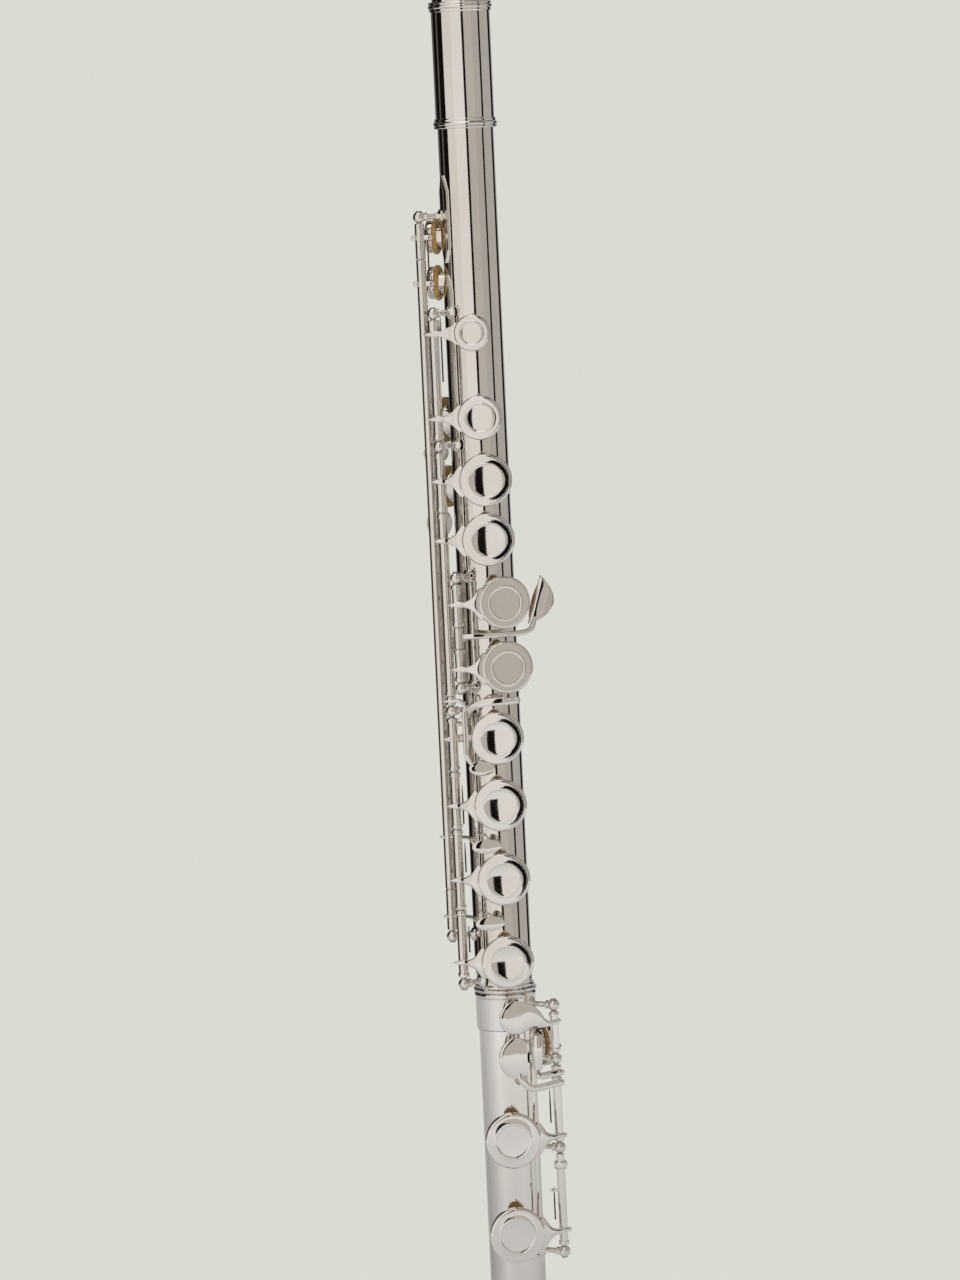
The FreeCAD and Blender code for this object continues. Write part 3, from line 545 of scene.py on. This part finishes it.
def armShape(name, hinge):
    # flared arm: a pointed tail, a narrow ridge over the hinge tube, then a fan that hugs the cup
    azimuth, high, radius = allHoles[name]
    lineAzimuth, lineAcross, lineOut = hingeLines[hinge]
    line = hingePoint(hinge, high)
    axisX = spot(azimuth, 1, 0, 0)
    axisOut = spot(azimuth, 0, 1, 0)
    across, out = line.dot(axisX), line.dot(axisOut)
    side = math.copysign(1, across)
    top = flute["hingeRadius"] if hinge != "foot" else flute["footHingeRadius"]
    level = flute["cupStart"] + 1.3

    def at(x, y):
        return spot(azimuth, side * x, y, high)

    hingeX = abs(across)
    tail = [(at(hingeX + 3.6, out + top - 0.35), 0.12, 0.12),
            (at(hingeX + 2.6, out + top - 0.1), 0.45, 0.4),
            (at(hingeX + 1.3, out + top + 0.1), 0.85, 0.6), (at(hingeX, out + top + 0.25), 1.15, 0.8)]
    if hinge == "foot":  # ends in a small round knob instead of a point
        tail = [(at(hingeX + 2.75, out + 0.75), 0.2, 0.2), (at(hingeX + 2.5, out + 0.8), 0.68, 0.62),
                (at(hingeX + 2.0, out + 0.95), 0.85, 0.75), (at(hingeX + 1.5, out + 1.2), 0.62, 0.5),
                (at(hingeX + 0.9, out + top), 0.7, 0.5), (at(hingeX, out + top + 0.2), 0.95, 0.6)]
    wing = 5.6 * radius / 9.4
    stations = tail + [
        (at(hingeX - 1.0, out + top * 0.85 + (level - out) * 0.2), 1.1, 0.75),
        (at(radius + 4.4, (out + top + level) / 2 + 0.3), 1.15, 0.7),
        (at(radius + 2.2, level - 0.3), 2.3, 0.7), (at(radius + 0.8, level), wing * 0.74, 0.75),
        (at(radius - 0.4, level), wing, 0.75), (at(radius - 1.5, level), wing, 0.75),
        (at(radius * 0.74, level), radius * 0.56, 0.7)]
    return loftShape(smoothStations(stations, 4), axisOut, 16, 0.6)


def tubeShape(hinge, start, end):
    # hinge tube with turned-down ends, so that neighbours show a fine line between them
    outer = flute["footHingeRadius"] if hinge == "foot" else flute["hingeRadius"]
    inner = 0.95
    return turnedShape([(inner, start), (outer - 0.2, start), (outer, start + 0.2),
                        (outer, end - 0.2), (outer - 0.2, end), (inner, end)],
                       upright(hingePoint(hinge, 0)), 48)


def collarShape(hinge, high, long=1.4, proud=0.35):
    outer = (flute["footHingeRadius"] if hinge == "foot" else flute["hingeRadius"]) + proud
    return turnedShape(rounded([(1.0, high - long / 2), (outer, high - long / 2),
                                (outer, high + long / 2), (1.0, high + long / 2)], 0.25),
                       upright(hingePoint(hinge, 0)), 40)


def barShape(points, halfWide, halfThick, normal, ends=0.5):
    stations = [(Vector(p), halfWide, halfThick) for p in points]
    stations[0] = (stations[0][0], halfWide * ends, halfThick * ends)
    stations[-1] = (stations[-1][0], halfWide * ends, halfThick * ends)
    return loftShape(smoothStations(stations, 6), normal, 16, 0.8)


def padShape(name):
    # felt disc under skin: rolled edge, and a round seat pressed by the tone hole's rim
    azimuth, high, radius = allHoles[name]
    if name.startswith("trill"):  # these bulge out of their small cups
        outline = [(0.0, 0.02), (radius - 2.2, 0.0), (radius - 1.6, -0.1), (radius - 1.1, -0.7),
                   (radius - 0.3, -0.95), (radius + 0.35, -0.6), (radius + 0.6, 0.1),
                   (radius + 0.4, 0.7), (radius - 0.75, 0.8), (radius - 0.75, 2.2), (0.0, 2.25)]
        return turnedShape(outline, facing(azimuth, 0, flute["padFace"], high), 72)
    edge = radius - 0.75
    seat = radius - tubeFacts["cupOverHole"] + 0.4
    outline = [(0.0, 0.02), (seat - 0.9, 0.0), (seat - 0.45, 0.06), (seat, 0.16), (seat + 0.45, 0.06),
               (edge - 0.5, 0.0), (edge - 0.12, 0.14), (edge, 0.5), (edge, 2.2), (0.0, 2.25)]
    return turnedShape(outline, facing(azimuth, 0, flute["padFace"], high), 72)


def keyPiece(label, body, hinge, tubes, cups, extras=(), turnWay=1, arms=True, openStanding=True,
             flat=(), pads=None, stands=None):
    rest = hingeTurn(hinge, -turnWay * flute["openDegrees"] if openStanding else 0)
    whole = bmesh.new()
    for start, end in tubes:
        addInto(whole, tubeShape(hinge, start, end))
    for name in cups:
        addInto(whole, cupShape(name, name in flat))
        if arms:
            addInto(whole, armShape(name, hinge))
    for shape in extras:
        addInto(whole, shape)
    bmesh.ops.transform(whole, matrix=rest, verts=whole.verts)
    newPiece(label, whole, body, silverPlate, [stands or body])
    if pads:
        discs = bmesh.new()
        for name in cups:
            addInto(discs, padShape(name))
        bmesh.ops.transform(discs, matrix=rest, verts=discs.verts)
        newPiece(label + "Pad", discs, body, padSkin, [pads])


outward = spot(0, 0, 1, 0)
footOut = spot(footTurn, 0, 1, 0)

keyPiece("cKey", "c_key", "main", [(324.0, 366.6)], ["c_sharp", "c"], pads="c_pads", extras=[
    collarShape("main", 325.2), collarShape("main", 364.2, 4.6, 0.55)])
keyPiece("aSharpKey", "a_sharp_key", "main", [(298.2, 319.4)], ["a_sharp"], pads="a_sharp_pad",
         extras=[collarShape("main", 318.4), collarShape("main", 299.4)])
keyPiece("aKey", "a_key", "main", [(232.4, 298.0)], ["a"], pads="a_pad",
         extras=[collarShape("main", 296.8), collarShape("main", 233.4)])
keyPiece("gUpperKey", "g_upper_key", "g", [(257.3, 272.6)], ["g_upper"], pads="g_upper_pad",
         flat=["g_upper"], extras=[collarShape("g", 258.4), collarShape("g", 271.6)])
keyPiece("gLowerKey", "g_lower_key", "g", [(237.7, 249.4)], ["g_lower"], pads="g_lower_pad",
         flat=["g_lower"], extras=[collarShape("g", 238.7), collarShape("g", 248.5)])
keyPiece("fKey", "f_key", "main", [(184.6, 205.2)], ["f"], pads="f_pad",
         extras=[collarShape("main", 204.1), collarShape("main", 185.6)])
keyPiece("eKey", "e_key", "main", [(155.4, 184.4)], ["e"], pads="e_pad",
         extras=[collarShape("main", 183.4), collarShape("main", 156.4)])
keyPiece("dKey", "d_key", "main", [(130.7, 155.2)], ["d"], pads="d_pad",
         extras=[collarShape("main", 154.2), collarShape("main", 131.7)])
print("main keys made")


def thumbExtras(touchAt, halfUp, start):
    normal = spot(thumbTurn, 0, 1, 0)
    strap = barShape([spot(thumbTurn, 3, 15.3, start), spot(thumbTurn, 3, 16.2, (start + touchAt) / 2),
                      spot(thumbTurn, 3, 15.8, touchAt)], 1.9, 0.65, normal)
    touch = touchShape(facing(thumbTurn, 3, 15.9, touchAt), 6.0, halfUp, 0.85, 0.1, 0.3)
    return [strap, touch]


keyPiece("thumbBKey", "thumb_b_key", "thumb", [(320.0, 339.7)], ["thumb_b"], pads="thumb_b_pad",
         extras=thumbExtras(317.7, 3.9, 325.0))
keyPiece("thumbBFlatKey", "thumb_b_flat_key", "thumb", [(299.8, 319.8)], ["thumb_b_flat"],
         pads="thumb_b_flat_pad", extras=thumbExtras(292.4, 5.6, 301.0))


def fSharpExtras():
    hinge = hingePoint("main", 217.1)
    lowArm = loftShape(smoothStations([
        (hinge + Vector((-3.4, -0.6, 0)), 0.2, 0.15), (hinge + Vector((-1.2, -1.1, 0)), 0.9, 0.5),
        (spot(0, -14.6, 9.7, 217.1), 1.2, 0.6), (spot(0, -12.2, 8.7, 217.1), 1.6, 0.55),
        (spot(0, -10.0, 9.9, 217.1), 2.4, 0.5), (spot(0, -8.8, 12.9, 217.1), 4.4, 0.5),
        (spot(0, -7.9, 14.1, 217.1), 5.2, 0.6)], 5), outward, 16, 0.6)
    over = barShape([hingePoint("main", 222.0) + Vector((0, -1.0, 0)), spot(0, -12.6, 9.4, 223.2),
                     spot(0, -10.6, 10.6, 226.0), spot(0, -8.2, 13.0, 228.6),
                     spot(0, -4.6, 15.0, 229.9), spot(0, 0.5, 15.2, 230.3),
                     spot(0, 5.0, 14.6, 230.4), spot(0, 8.6, 13.4, 230.4)], 1.35, 0.6, outward)
    lug = turnedShape(rounded([(0, -1.1), (1.15, -1.1), (1.15, 1.1), (0, 1.1)], 0.3),
                      facing(0, 7.6, 13.4, 230.4), 32)
    return [lowArm, over, lug]


keyPiece("fSharpKey", "f_sharp_key", "main", [(205.4, 224.6)], ["f_sharp"], pads="f_sharp_pad",
         extras=fSharpExtras() + [collarShape("main", 206.5), collarShape("main", 223.6)],
         arms=False)


def spoonMould(x, y):
    # leaf touch: straight towards the cups, round on the far side, pointed at both ends
    half = 3.7 * (1 - abs(y) ** 1.9) + 0.12
    share = x / max(math.sqrt(max(1 - y * y, 0)), 0.02)
    across = -3.2 + half * (1 + max(-1, min(1, share)))
    return across, 9.0 * y, -across * across / 17.6


gSharpUnder = barShape([hingePoint("g", 252.4), spot(-50, 0, 13.6, 252.4),
                        spot(-75, 0, 13.3, 252.4), spot(-98, 0, 14.1, 252.4),
                        spot(-111, 0, 16.4, 252.4)], 0.95, 0.65, Vector((0, 0, 1)))
gSharpOver = barShape([hingePoint("g", 253.9), spot(0, -12.0, 13.2, 253.9), spot(0, -8.5, 14.7, 253.9),
                       spot(0, 0.0, 15.2, 253.9), spot(0, 6.0, 14.2, 253.9),
                       spot(0, 12.6, 12.0, 254.4), spot(0, 14.6, 11.1, 257.0),
                       spot(0, 15.9, 10.6, 261.5)], 0.95, 0.6, outward)
spoonPlace = facing(4.0, 17.58, 11.9, 264.5) @ Matrix.Rotation(math.radians(-17), 4, "Z")
keyPiece("gSharpKey", "g_sharp_key", "g", [(249.6, 257.1)], ["g_sharp"], arms=False,
         openStanding=False, pads="g_sharp_pad", extras=[
             gSharpUnder, gSharpOver,
             plateShape(spoonPlace, 0.55, spoonMould)])
newPiece("gSharpCork", barShape([spoonPlace @ Vector(point) for point in (
    (-2.9, -6.6, -1.25), (-3.0, -3.0, -1.15), (-3.0, 1.0, -1.15), (-2.8, 5.2, -1.25))], 0.75, 0.45,
    spoonPlace.to_3x3() @ Vector((0, 0, 1))), "g_sharp_key", corkSanded)


def trillExtras(cupName, touchAt, armAt):
    azimuth, high, radius = allHoles[cupName]
    mid = 14.6
    toCup = loftShape(smoothStations([
        (hingePoint("trill", high) + Vector((-3.3, -0.2, 0)), 0.3, 0.3),
        (hingePoint("trill", high) + Vector((-2.0, -0.3, 0)), 1.0, 0.8),
        (hingePoint("trill", high), 1.1, 0.9), (spot(azimuth, radius + 2.2, mid - 2.0, high), 1.0, 0.7),
        (spot(azimuth, radius + 0.3, mid, high), 1.9, 0.75),
        (spot(azimuth, radius * 0.72, mid, high), radius * 0.6, 0.7)], 5),
        spot(azimuth, 0, 1, 0), 16, 0.6)
    toTouch = barShape([hingePoint("trill", armAt) + Vector((-3.0, -0.2, 0)),
                        hingePoint("trill", armAt) + Vector((-1.6, -0.4, 0)),
                        hingePoint("trill", armAt), spot(0, -14.2, 5.6, armAt),
                        spot(0, -11.6, 10.6, armAt), spot(0, -9.8, 14.6, touchAt),
                        spot(0, -7.0, 15.6, touchAt)], 1.0, 0.55, Vector((0, 0, 1)))
    touch = touchShape(facing(0, -6.5, 15.9, touchAt), 5.3, 2.6, 0.62)
    return [toCup, toTouch, touch]


keyPiece("trillDSharpKey", "trill_d_sharp_key", "trill", [(147.3, 162.0), (388.2, 400.8)],
         ["trill_d_sharp"], arms=False, openStanding=False, pads="trill_d_sharp_pad",
         extras=trillExtras("trill_d_sharp", 150.6, 152.2))
keyPiece("trillDKey", "trill_d_key", "trill", [(162.2, 388.0)], ["trill_d"], arms=False,
         openStanding=False, pads="trill_d_pad", extras=trillExtras("trill_d", 178.4, 181.0))

keyPiece("sideLever", "side_lever", "main", [(229.3, 232.2)], [], openStanding=False, extras=[
    barShape([hingePoint("main", 230.8) + Vector((-3.0, -1.6, 0)), hingePoint("main", 230.8)
              + Vector((0, -1.9, 0)), spot(0, -13.6, 12.4, 230.9), spot(0, -12.0, 12.7, 229.6),
              spot(0, -11.8, 12.7, 226.0)], 0.9, 0.6, Vector((0, 0, 1))),
    barShape([spot(0, -11.8, 12.7, 230.6), spot(0, -11.8, 12.7, 224.0), spot(0, -11.8, 12.6, 216.0),
              spot(0, -11.6, 12.4, 210.6), spot(0, -9.6, 12.0, 207.0)], 0.95, 0.55, outward),
    touchShape(facing(0, -6.3, 11.9, 206.2), 4.7, 2.8, 0.55, 0.0, 0.1)])
print("levers made")


def footSpot(across, out, high):
    return spot(footTurn, across, out, high)


# across, out, high, half width and half thickness of the D sharp paddle, from its knob to its far rim
dSharpPaddle = [(19.7, 10.3, 113.5, 0.2, 0.2), (19.4, 10.5, 113.5, 0.75, 0.65),
                (18.9, 10.8, 113.4, 0.85, 0.7), (18.3, 11.1, 113.2, 0.6, 0.5),
                (17.4, 11.4, 113.0, 0.9, 0.6), (16.0, 11.9, 112.7, 0.95, 0.6),
                (14.5, 12.4, 112.8, 1.3, 0.6), (12.7, 12.9, 113.5, 2.3, 0.6),
                (11.0, 13.2, 114.4, 3.5, 0.6), (9.2, 13.5, 115.1, 4.5, 0.6),
                (7.0, 13.85, 115.6, 5.5, 0.6), (4.5, 14.25, 115.6, 6.05, 0.6),
                (2.0, 14.65, 115.5, 5.8, 0.6), (0.2, 14.95, 115.4, 4.7, 0.6),
                (-1.0, 15.15, 115.4, 3.3, 0.58), (-1.7, 15.25, 115.4, 1.9, 0.5),
                (-1.95, 15.3, 115.4, 0.7, 0.3)]


def cSharpMould(x, y):
    # oval cut off straight beside the roller, slightly domed from end to end
    across = min(x * 6.4, 3.6 + 0.25 * x)
    return across, y * 7.5, -0.35 * y * y


rollerAt = footSpot(10.2, 14.6, 95.6)
keyPiece("footCKey", "foot_c_key", "foot", [(31.2, 64.8), (93.2, 97.1)], ["foot_c"], turnWay=-1,
         pads="foot_c_pad", flat=["foot_c"], extras=[
             turnedShape(rounded([(1.0, 59.2), (2.0, 59.2), (2.65, 60.0), (2.65, 61.4), (2.0, 62.2),
                                  (1.0, 62.2)], 0.12), upright(hingePoint("foot", 0)), 8),
             barShape([footSpot(16.4, 9.8, 51.5), footSpot(14.6, 9.9, 51.6),
                       footSpot(12.9, 9.9, 51.7)], 0.62, 0.35, footOut),
             collarShape("foot", 32.2), collarShape("foot", 96.2, 1.6),
             barShape([footSpot(19.9, 10.4, 94.6), footSpot(18.6, 11.0, 94.6),
                       footSpot(17.0, 11.8, 94.6), footSpot(14.0, 13.4, 94.5),
                       footSpot(11.6, 14.4, 94.4), footSpot(9.4, 14.6, 94.4)],
                      1.2, 1.0, footOut, 0.6)])
keyPiece("footCSharpKey", "foot_c_sharp_key", "foot", [(69.4, 93.0)], ["foot_c_sharp"], turnWay=-1,
         pads="foot_c_sharp_pad", flat=["foot_c_sharp"], extras=[
             collarShape("foot", 92.0), collarShape("foot", 70.4),
             barShape([footSpot(19.9, 10.2, 90.9), footSpot(18.6, 10.9, 90.9),
                       footSpot(16.6, 11.6, 90.8), footSpot(13.0, 12.8, 90.3),
                       footSpot(9.0, 13.6, 89.9), footSpot(6.2, 13.8, 90.8),
                       footSpot(4.4, 13.9, 93.2), footSpot(3.6, 13.9, 96.2)],
                      1.3, 0.65, footOut, 0.6),
             plateShape(facing(footTurn, 2.7, 13.9, 101.2), 0.6, cSharpMould)])
keyPiece("footDSharpKey", "foot_d_sharp_key", "foot", [(101.9, 116.7)], ["foot_d_sharp"], arms=False,
         openStanding=False, pads="foot_d_sharp_pad", flat=["foot_d_sharp"], extras=[
             collarShape("foot", 102.9), collarShape("foot", 115.7),
             loftShape(smoothStations([(footSpot(*station[:3]), station[3], station[4])
                                       for station in dSharpPaddle], 5), footOut, 40, 0.5),
             barShape([footSpot(17.4, 9.5, 103.5), footSpot(18.4, 6.4, 103.5),
                       footSpot(17.6, 3.4, 103.4), footSpot(16.0, 0.4, 103.2)], 1.1, 0.7,
                      Vector((0, 0, 1)))])

footRest = hingeTurn("foot", flute["openDegrees"])
roller = turnedShape([(0.66, 1.0), (1.0, 1.0), (1.45, 1.2), (1.55, 1.7), (1.66, 3.0), (1.95, 6.0),
                      (2.02, 8.4), (1.98, 10.6), (1.78, 12.8), (1.6, 13.6), (1.4, 13.9),
                      (1.0, 14.0), (0.66, 14.0)], footRest @ upright(rollerAt), 48)
newPiece("roller", roller, "roller", silverPlate, ["roller"])
axle = turnedShape([(0, -0.2), (0.6, -0.2), (0.6, 14.1), (0.85, 14.2), (0.85, 14.5), (0.5, 14.7),
                    (0, 14.7)], footRest @ upright(rollerAt), 24)
newPiece("rollerAxle", axle, "foot_c_key", groundSteel, ["roller_axle"])


def springShape(azimuth, across, out, low, high):
    place = upright(spot(azimuth, across, out, 0))
    return turnedShape([(0, low), (0.27, low), (0.27, low + (high - low) * 0.6), (0.12, high),
                        (0, high)], place, 16)


springs = dict(
    bodySprings=("body_joint", "body_springs", [(0, -15.9, 3.2, 381.5, 401.5),
                 (0, -13.3, 8.0, 344.5, 367.2), (0, -13.3, 8.0, 186.0, 200.0),
                 (0, -13.3, 8.0, 168.5, 179.2), (0, -13.3, 8.0, 139.5, 149.0)]),
    footSprings=("foot_joint", "foot_springs", [(footTurn, 14.6, 8.6, 40.5, 52.5),
                 (footTurn, 14.6, 8.6, 76.0, 88.0)]))
for name, (body, node, wires) in springs.items():
    group = bmesh.new()
    for wire in wires:
        addInto(group, springShape(*wire))
    newPiece(name, group, body, bluedSpring, [node])
print("foot made")

headFacts = dict(low=441.2, taper=500.0, top=652.0, topRadius=9.0, wall=0.45, mouth=602.0,
                 mouthLong=6.1, mouthWide=5.1)


def headOutline():
    low, taper, top = headFacts["low"], headFacts["taper"], headFacts["top"]
    tube, small, wall = flute["tubeRadius"], headFacts["topRadius"], headFacts["wall"]
    return [(tube - wall, low), (tube - 0.1, low), (tube, low + 0.1), (tube, taper), (small, top),
            (small - wall, top), (tube - wall, taper)]


mouthPlace = facing(0, 0, 10, headFacts["mouth"])
holedTube("headTube", "head_joint", headFacts["low"], headFacts["top"], headOutline(),
          [roundCutter(mouthPlace, headFacts["mouthLong"], 14,
                       headFacts["mouthWide"] / headFacts["mouthLong"])], [], ["head_tube"])


def smoothCadCopy(name, node, body, material, sharp):
    # a CAD node's own shape, welded and shaded smooth
    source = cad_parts[node].data
    shape = bmesh.new()
    shape.from_mesh(source)
    bmesh.ops.remove_doubles(shape, verts=shape.verts, dist=0.000001)
    bmesh.ops.scale(shape, vec=(perMetre,) * 3, verts=shape.verts)
    return newPiece(name, shape, body, material, [node], sharp)


smoothCadCopy("lipPlate", "lip_plate", "head_joint", silverPlate, 40)
smoothCadCopy("riser", "riser", "head_joint", silverPlate, 40)
ringPiece("crown", "crown", rounded([
    (1.55, 652.1), (9.3, 652.1), (9.9, 652.7), (9.9, 653.7), (9.2, 654.3), (9.2, 655.1),
    (10.1, 656.1), (10.3, 661.5), (10.1, 664.1), (9.2, 665.1), (9.2, 665.7), (8.2, 666.7),
    (4.5, 667.9), (0.0, 668.3), (0.0, 665.2), (1.55, 665.2)], 0.3), ["crown"])
corkLow = headFacts["mouth"] + 17.3
newPiece("headCork", turnedShape(rounded([(1.5, corkLow), (8.5, corkLow), (8.5, corkLow + 15),
                                          (1.5, corkLow + 15)], 0.3), Matrix.Identity(4), 64),
         "cork", corkSanded, ["head_cork"])
newPiece("corkScrew", turnedShape(
    [(0, corkLow - 1.6), (8.4, corkLow - 1.6), (8.4, corkLow), (1.5, corkLow), (1.5, corkLow + 15),
     (8.4, corkLow + 15), (8.4, corkLow + 16.6), (1.5, corkLow + 16.6), (1.5, 664.0), (0, 664.0)],
    Matrix.Identity(4), 64), "cork", silverPlate, ["cork_screw"])
print("head joint made")

studio = dict(back="#DADBD3", floorShare=1.0, tableShare=0.655, cardRadius=760.0, cardLow=0.5,
              cardHigh=1500.0, discRadius=60.0, discSides=96, lens=145.7, cameraAzimuth=-8.0,
              cameraAway=1850.0, cameraLeft=3.25, cameraHigh=435.9, cameraPitch=-5.71,
              cameraRoll=-2.65)


def glowPaint(name, level, colour):
    made = bpy.data.materials.new(name)
    made.use_nodes = True
    shader = made.node_tree.nodes["Principled BSDF"]
    shader.inputs["Base Color"].default_value = gray(0.01)
    shader.inputs["Roughness"].default_value = 1.0
    shader.inputs["Specular IOR Level"].default_value = 0.0
    shader.inputs["Emission Color"].default_value = linearColour(colour)
    shader.inputs["Emission Strength"].default_value = level
    return made


def stageObject(shape, name, paint):
    # turns a finished bmesh, already in metres, into a staged object
    mesh = bpy.data.meshes.new(name)
    shape.to_mesh(mesh)
    shape.free()
    mesh.materials.append(paint)
    made = bpy.data.objects.new(name, mesh)
    scene.collection.objects.link(made)
    return made


def studioDisc(name, paint, high=0.0):
    shape = bmesh.new()
    bmesh.ops.create_circle(shape, cap_ends=True, segments=studio["discSides"],
                            radius=studio["discRadius"])
    bmesh.ops.translate(shape, verts=shape.verts, vec=(0, 0, high))
    return stageObject(shape, name, paint)


def studioCard(name, start, end, low, high, level, colour):
    # a curved card round the flute, lit evenly; angles are measured from the camera's side
    shape = bmesh.new()
    first = start + studio["cameraAzimuth"]
    edge = shape.edges.new([shape.verts.new(spot(first, 0, studio["cardRadius"], at))
                            for at in (low, high)])
    bmesh.ops.spin(shape, geom=[edge] + list(edge.verts), axis=(0, 0, 1), cent=(0, 0, 0),
                   steps=max(2, int((end - start) / 3)), angle=math.radians(end - start))
    bmesh.ops.scale(shape, vec=(1 / perMetre,) * 3, verts=shape.verts)
    made = stageObject(shape, name, glowPaint(name + "Paint", level, colour))
    made.visible_camera = False


studioCards = dict(
    whiteFar=(-80, -42, 0.686, "#FFFAF4"), whiteNear=(-42, 0.6, 0.745, "#FFFBF7"),
    blackSlot=(0.6, 9.6, 0.003, "#101214"), beigeNear=(9.6, 42, 0.475, "#FFF7EE"),
    beigeFar=(42, 69.5, 0.42, "#FFF8F0"), thinDark=(69.5, 78, 0.012, "#302018"),
    greyRight=(78, 128, 0.42, "#FFF9F2"), darkRight=(128, 150, 0.01, "#181818"),
    backRight=(150, 180, 0.40, "#FFFFFF"), backLeft=(-180, -142, 0.10, "#FFFFFF"),
    darkFar=(-142, -116, 0.005, "#101418"), brownLine=(-116, -107, 0.12, "#FFE6CC"),
    darkNear=(-107, -80, 0.004, "#101418"))
for name, (start, end, level, colour) in studioCards.items():
    studioCard(name, start, end, studio["cardLow"], studio["cardHigh"], level, colour)

overhead = bmesh.new()
bmesh.ops.create_grid(overhead, x_segments=1, y_segments=1, size=0.5)
bmesh.ops.translate(overhead, verts=overhead.verts, vec=(-0.35, -0.3, 1.55))
overheadCard = stageObject(overhead, "overhead", glowPaint("overheadPaint", 1.0, "#FFFFFF"))
overheadCard.visible_camera = False

world = bpy.data.worlds.new("studio")
scene.world = world
world.use_nodes = True
tree = world.node_tree
tree.nodes.clear()
seen = addNode(tree, "ShaderNodeBackground", Color=linearColour(studio["back"]), Strength=1.0)
around = addNode(tree, "ShaderNodeBackground", Color=linearColour("#3A322C"), Strength=1.0)
path = addNode(tree, "ShaderNodeLightPath")
mix = addNode(tree, "ShaderNodeMixShader")
tree.links.new(path.outputs["Is Camera Ray"], mix.inputs[0])
tree.links.new(around.outputs[0], mix.inputs[1])
tree.links.new(seen.outputs[0], mix.inputs[2])
addNode(tree, "ShaderNodeOutputWorld", links={"Surface": mix.outputs[0]})

floorPaint = bpy.data.materials.new("floorPaint")
floorPaint.use_nodes = True
floorShader = floorPaint.node_tree.nodes["Principled BSDF"]
floorShader.inputs["Base Color"].default_value = gray(0.005)
floorShader.inputs["Specular IOR Level"].default_value = 0.0
floorShader.inputs["Roughness"].default_value = 0.9
floorShader.inputs["Emission Color"].default_value = linearColour(studio["back"])
floorShader.inputs["Emission Strength"].default_value = studio["floorShare"]
floor = studioDisc("floor", floorPaint)

# the flute mirrors a softer, greyer table than the floor behind it: darker to the left and below
tableGlow = [(0.0, 0.79), (0.061, 0.95), (0.117, 1.08), (0.228, 0.98), (0.353, 1.0), (0.478, 0.93),
             (0.561, 0.8), (0.728, 0.62), (0.894, 0.62), (1.0, 0.79)]
tablePaint, tableTree, tableShader, tablePlace = newMaterial("tablePaint")
around = addNode(tableTree, "ShaderNodeTexGradient", {"gradient_type": "RADIAL"},
                 {"Vector": tablePlace})
glow = addNode(tableTree, "ShaderNodeValToRGB", links={"Fac": around.outputs["Fac"]})
for at, level in tableGlow[1:-1]:
    glow.color_ramp.elements.new(at)
for element, (at, level) in zip(glow.color_ramp.elements, tableGlow):
    element.position = at
    element.color = gray(level * studio["tableShare"])
away = addNode(tableTree, "ShaderNodeVectorMath", {"operation": "LENGTH"}, {"Vector": tablePlace})
rise = addNode(tableTree, "ShaderNodeMapRange", links={"Value": away.outputs["Value"]})
for socket, value in zip(("From Min", "From Max", "To Min", "To Max"), (0.05, 0.6, 0.82, 1.14)):
    rise.inputs[socket].default_value = value
tableTree.links.new(glow.outputs["Color"], tableShader.inputs["Emission Color"])
tableTree.links.new(rise.outputs["Result"], tableShader.inputs["Emission Strength"])
tableShader.inputs["Base Color"].default_value = gray(0.005)
tableShader.inputs["Specular IOR Level"].default_value = 0.0
table = studioDisc("table", tablePaint, 0.0002)
table.visible_camera = False
table.visible_diffuse = False
table.visible_shadow = False
floor.visible_glossy = False

camera = bpy.data.cameras.new("camera")
camera.sensor_width = 36.0
camera.lens = studio["lens"]
camera.clip_start, camera.clip_end = 0.05, 200.0
cameraObject = bpy.data.objects.new("camera", camera)
scene.collection.objects.link(cameraObject)
turn = math.radians(-studio["cameraAzimuth"])
lookFlat = Vector((math.sin(turn), math.cos(turn), 0))
sideways = Vector((math.cos(turn), -math.sin(turn), 0))
place = Vector((0, 0, studio["cameraHigh"])) - lookFlat * studio["cameraAway"] - (
    sideways * studio["cameraLeft"])
pitch = math.radians(studio["cameraPitch"])
forward = lookFlat * math.cos(pitch) + Vector((0, 0, math.sin(pitch)))
roll = Matrix.Rotation(math.radians(studio["cameraRoll"]), 4, "Z")
cameraObject.matrix_world = (Matrix.Translation(place / perMetre)
                             @ forward.to_track_quat("-Z", "Y").to_matrix().to_4x4() @ roll)
scene.camera = cameraObject
scene.view_settings.view_transform = "Standard"
print("studio ready")
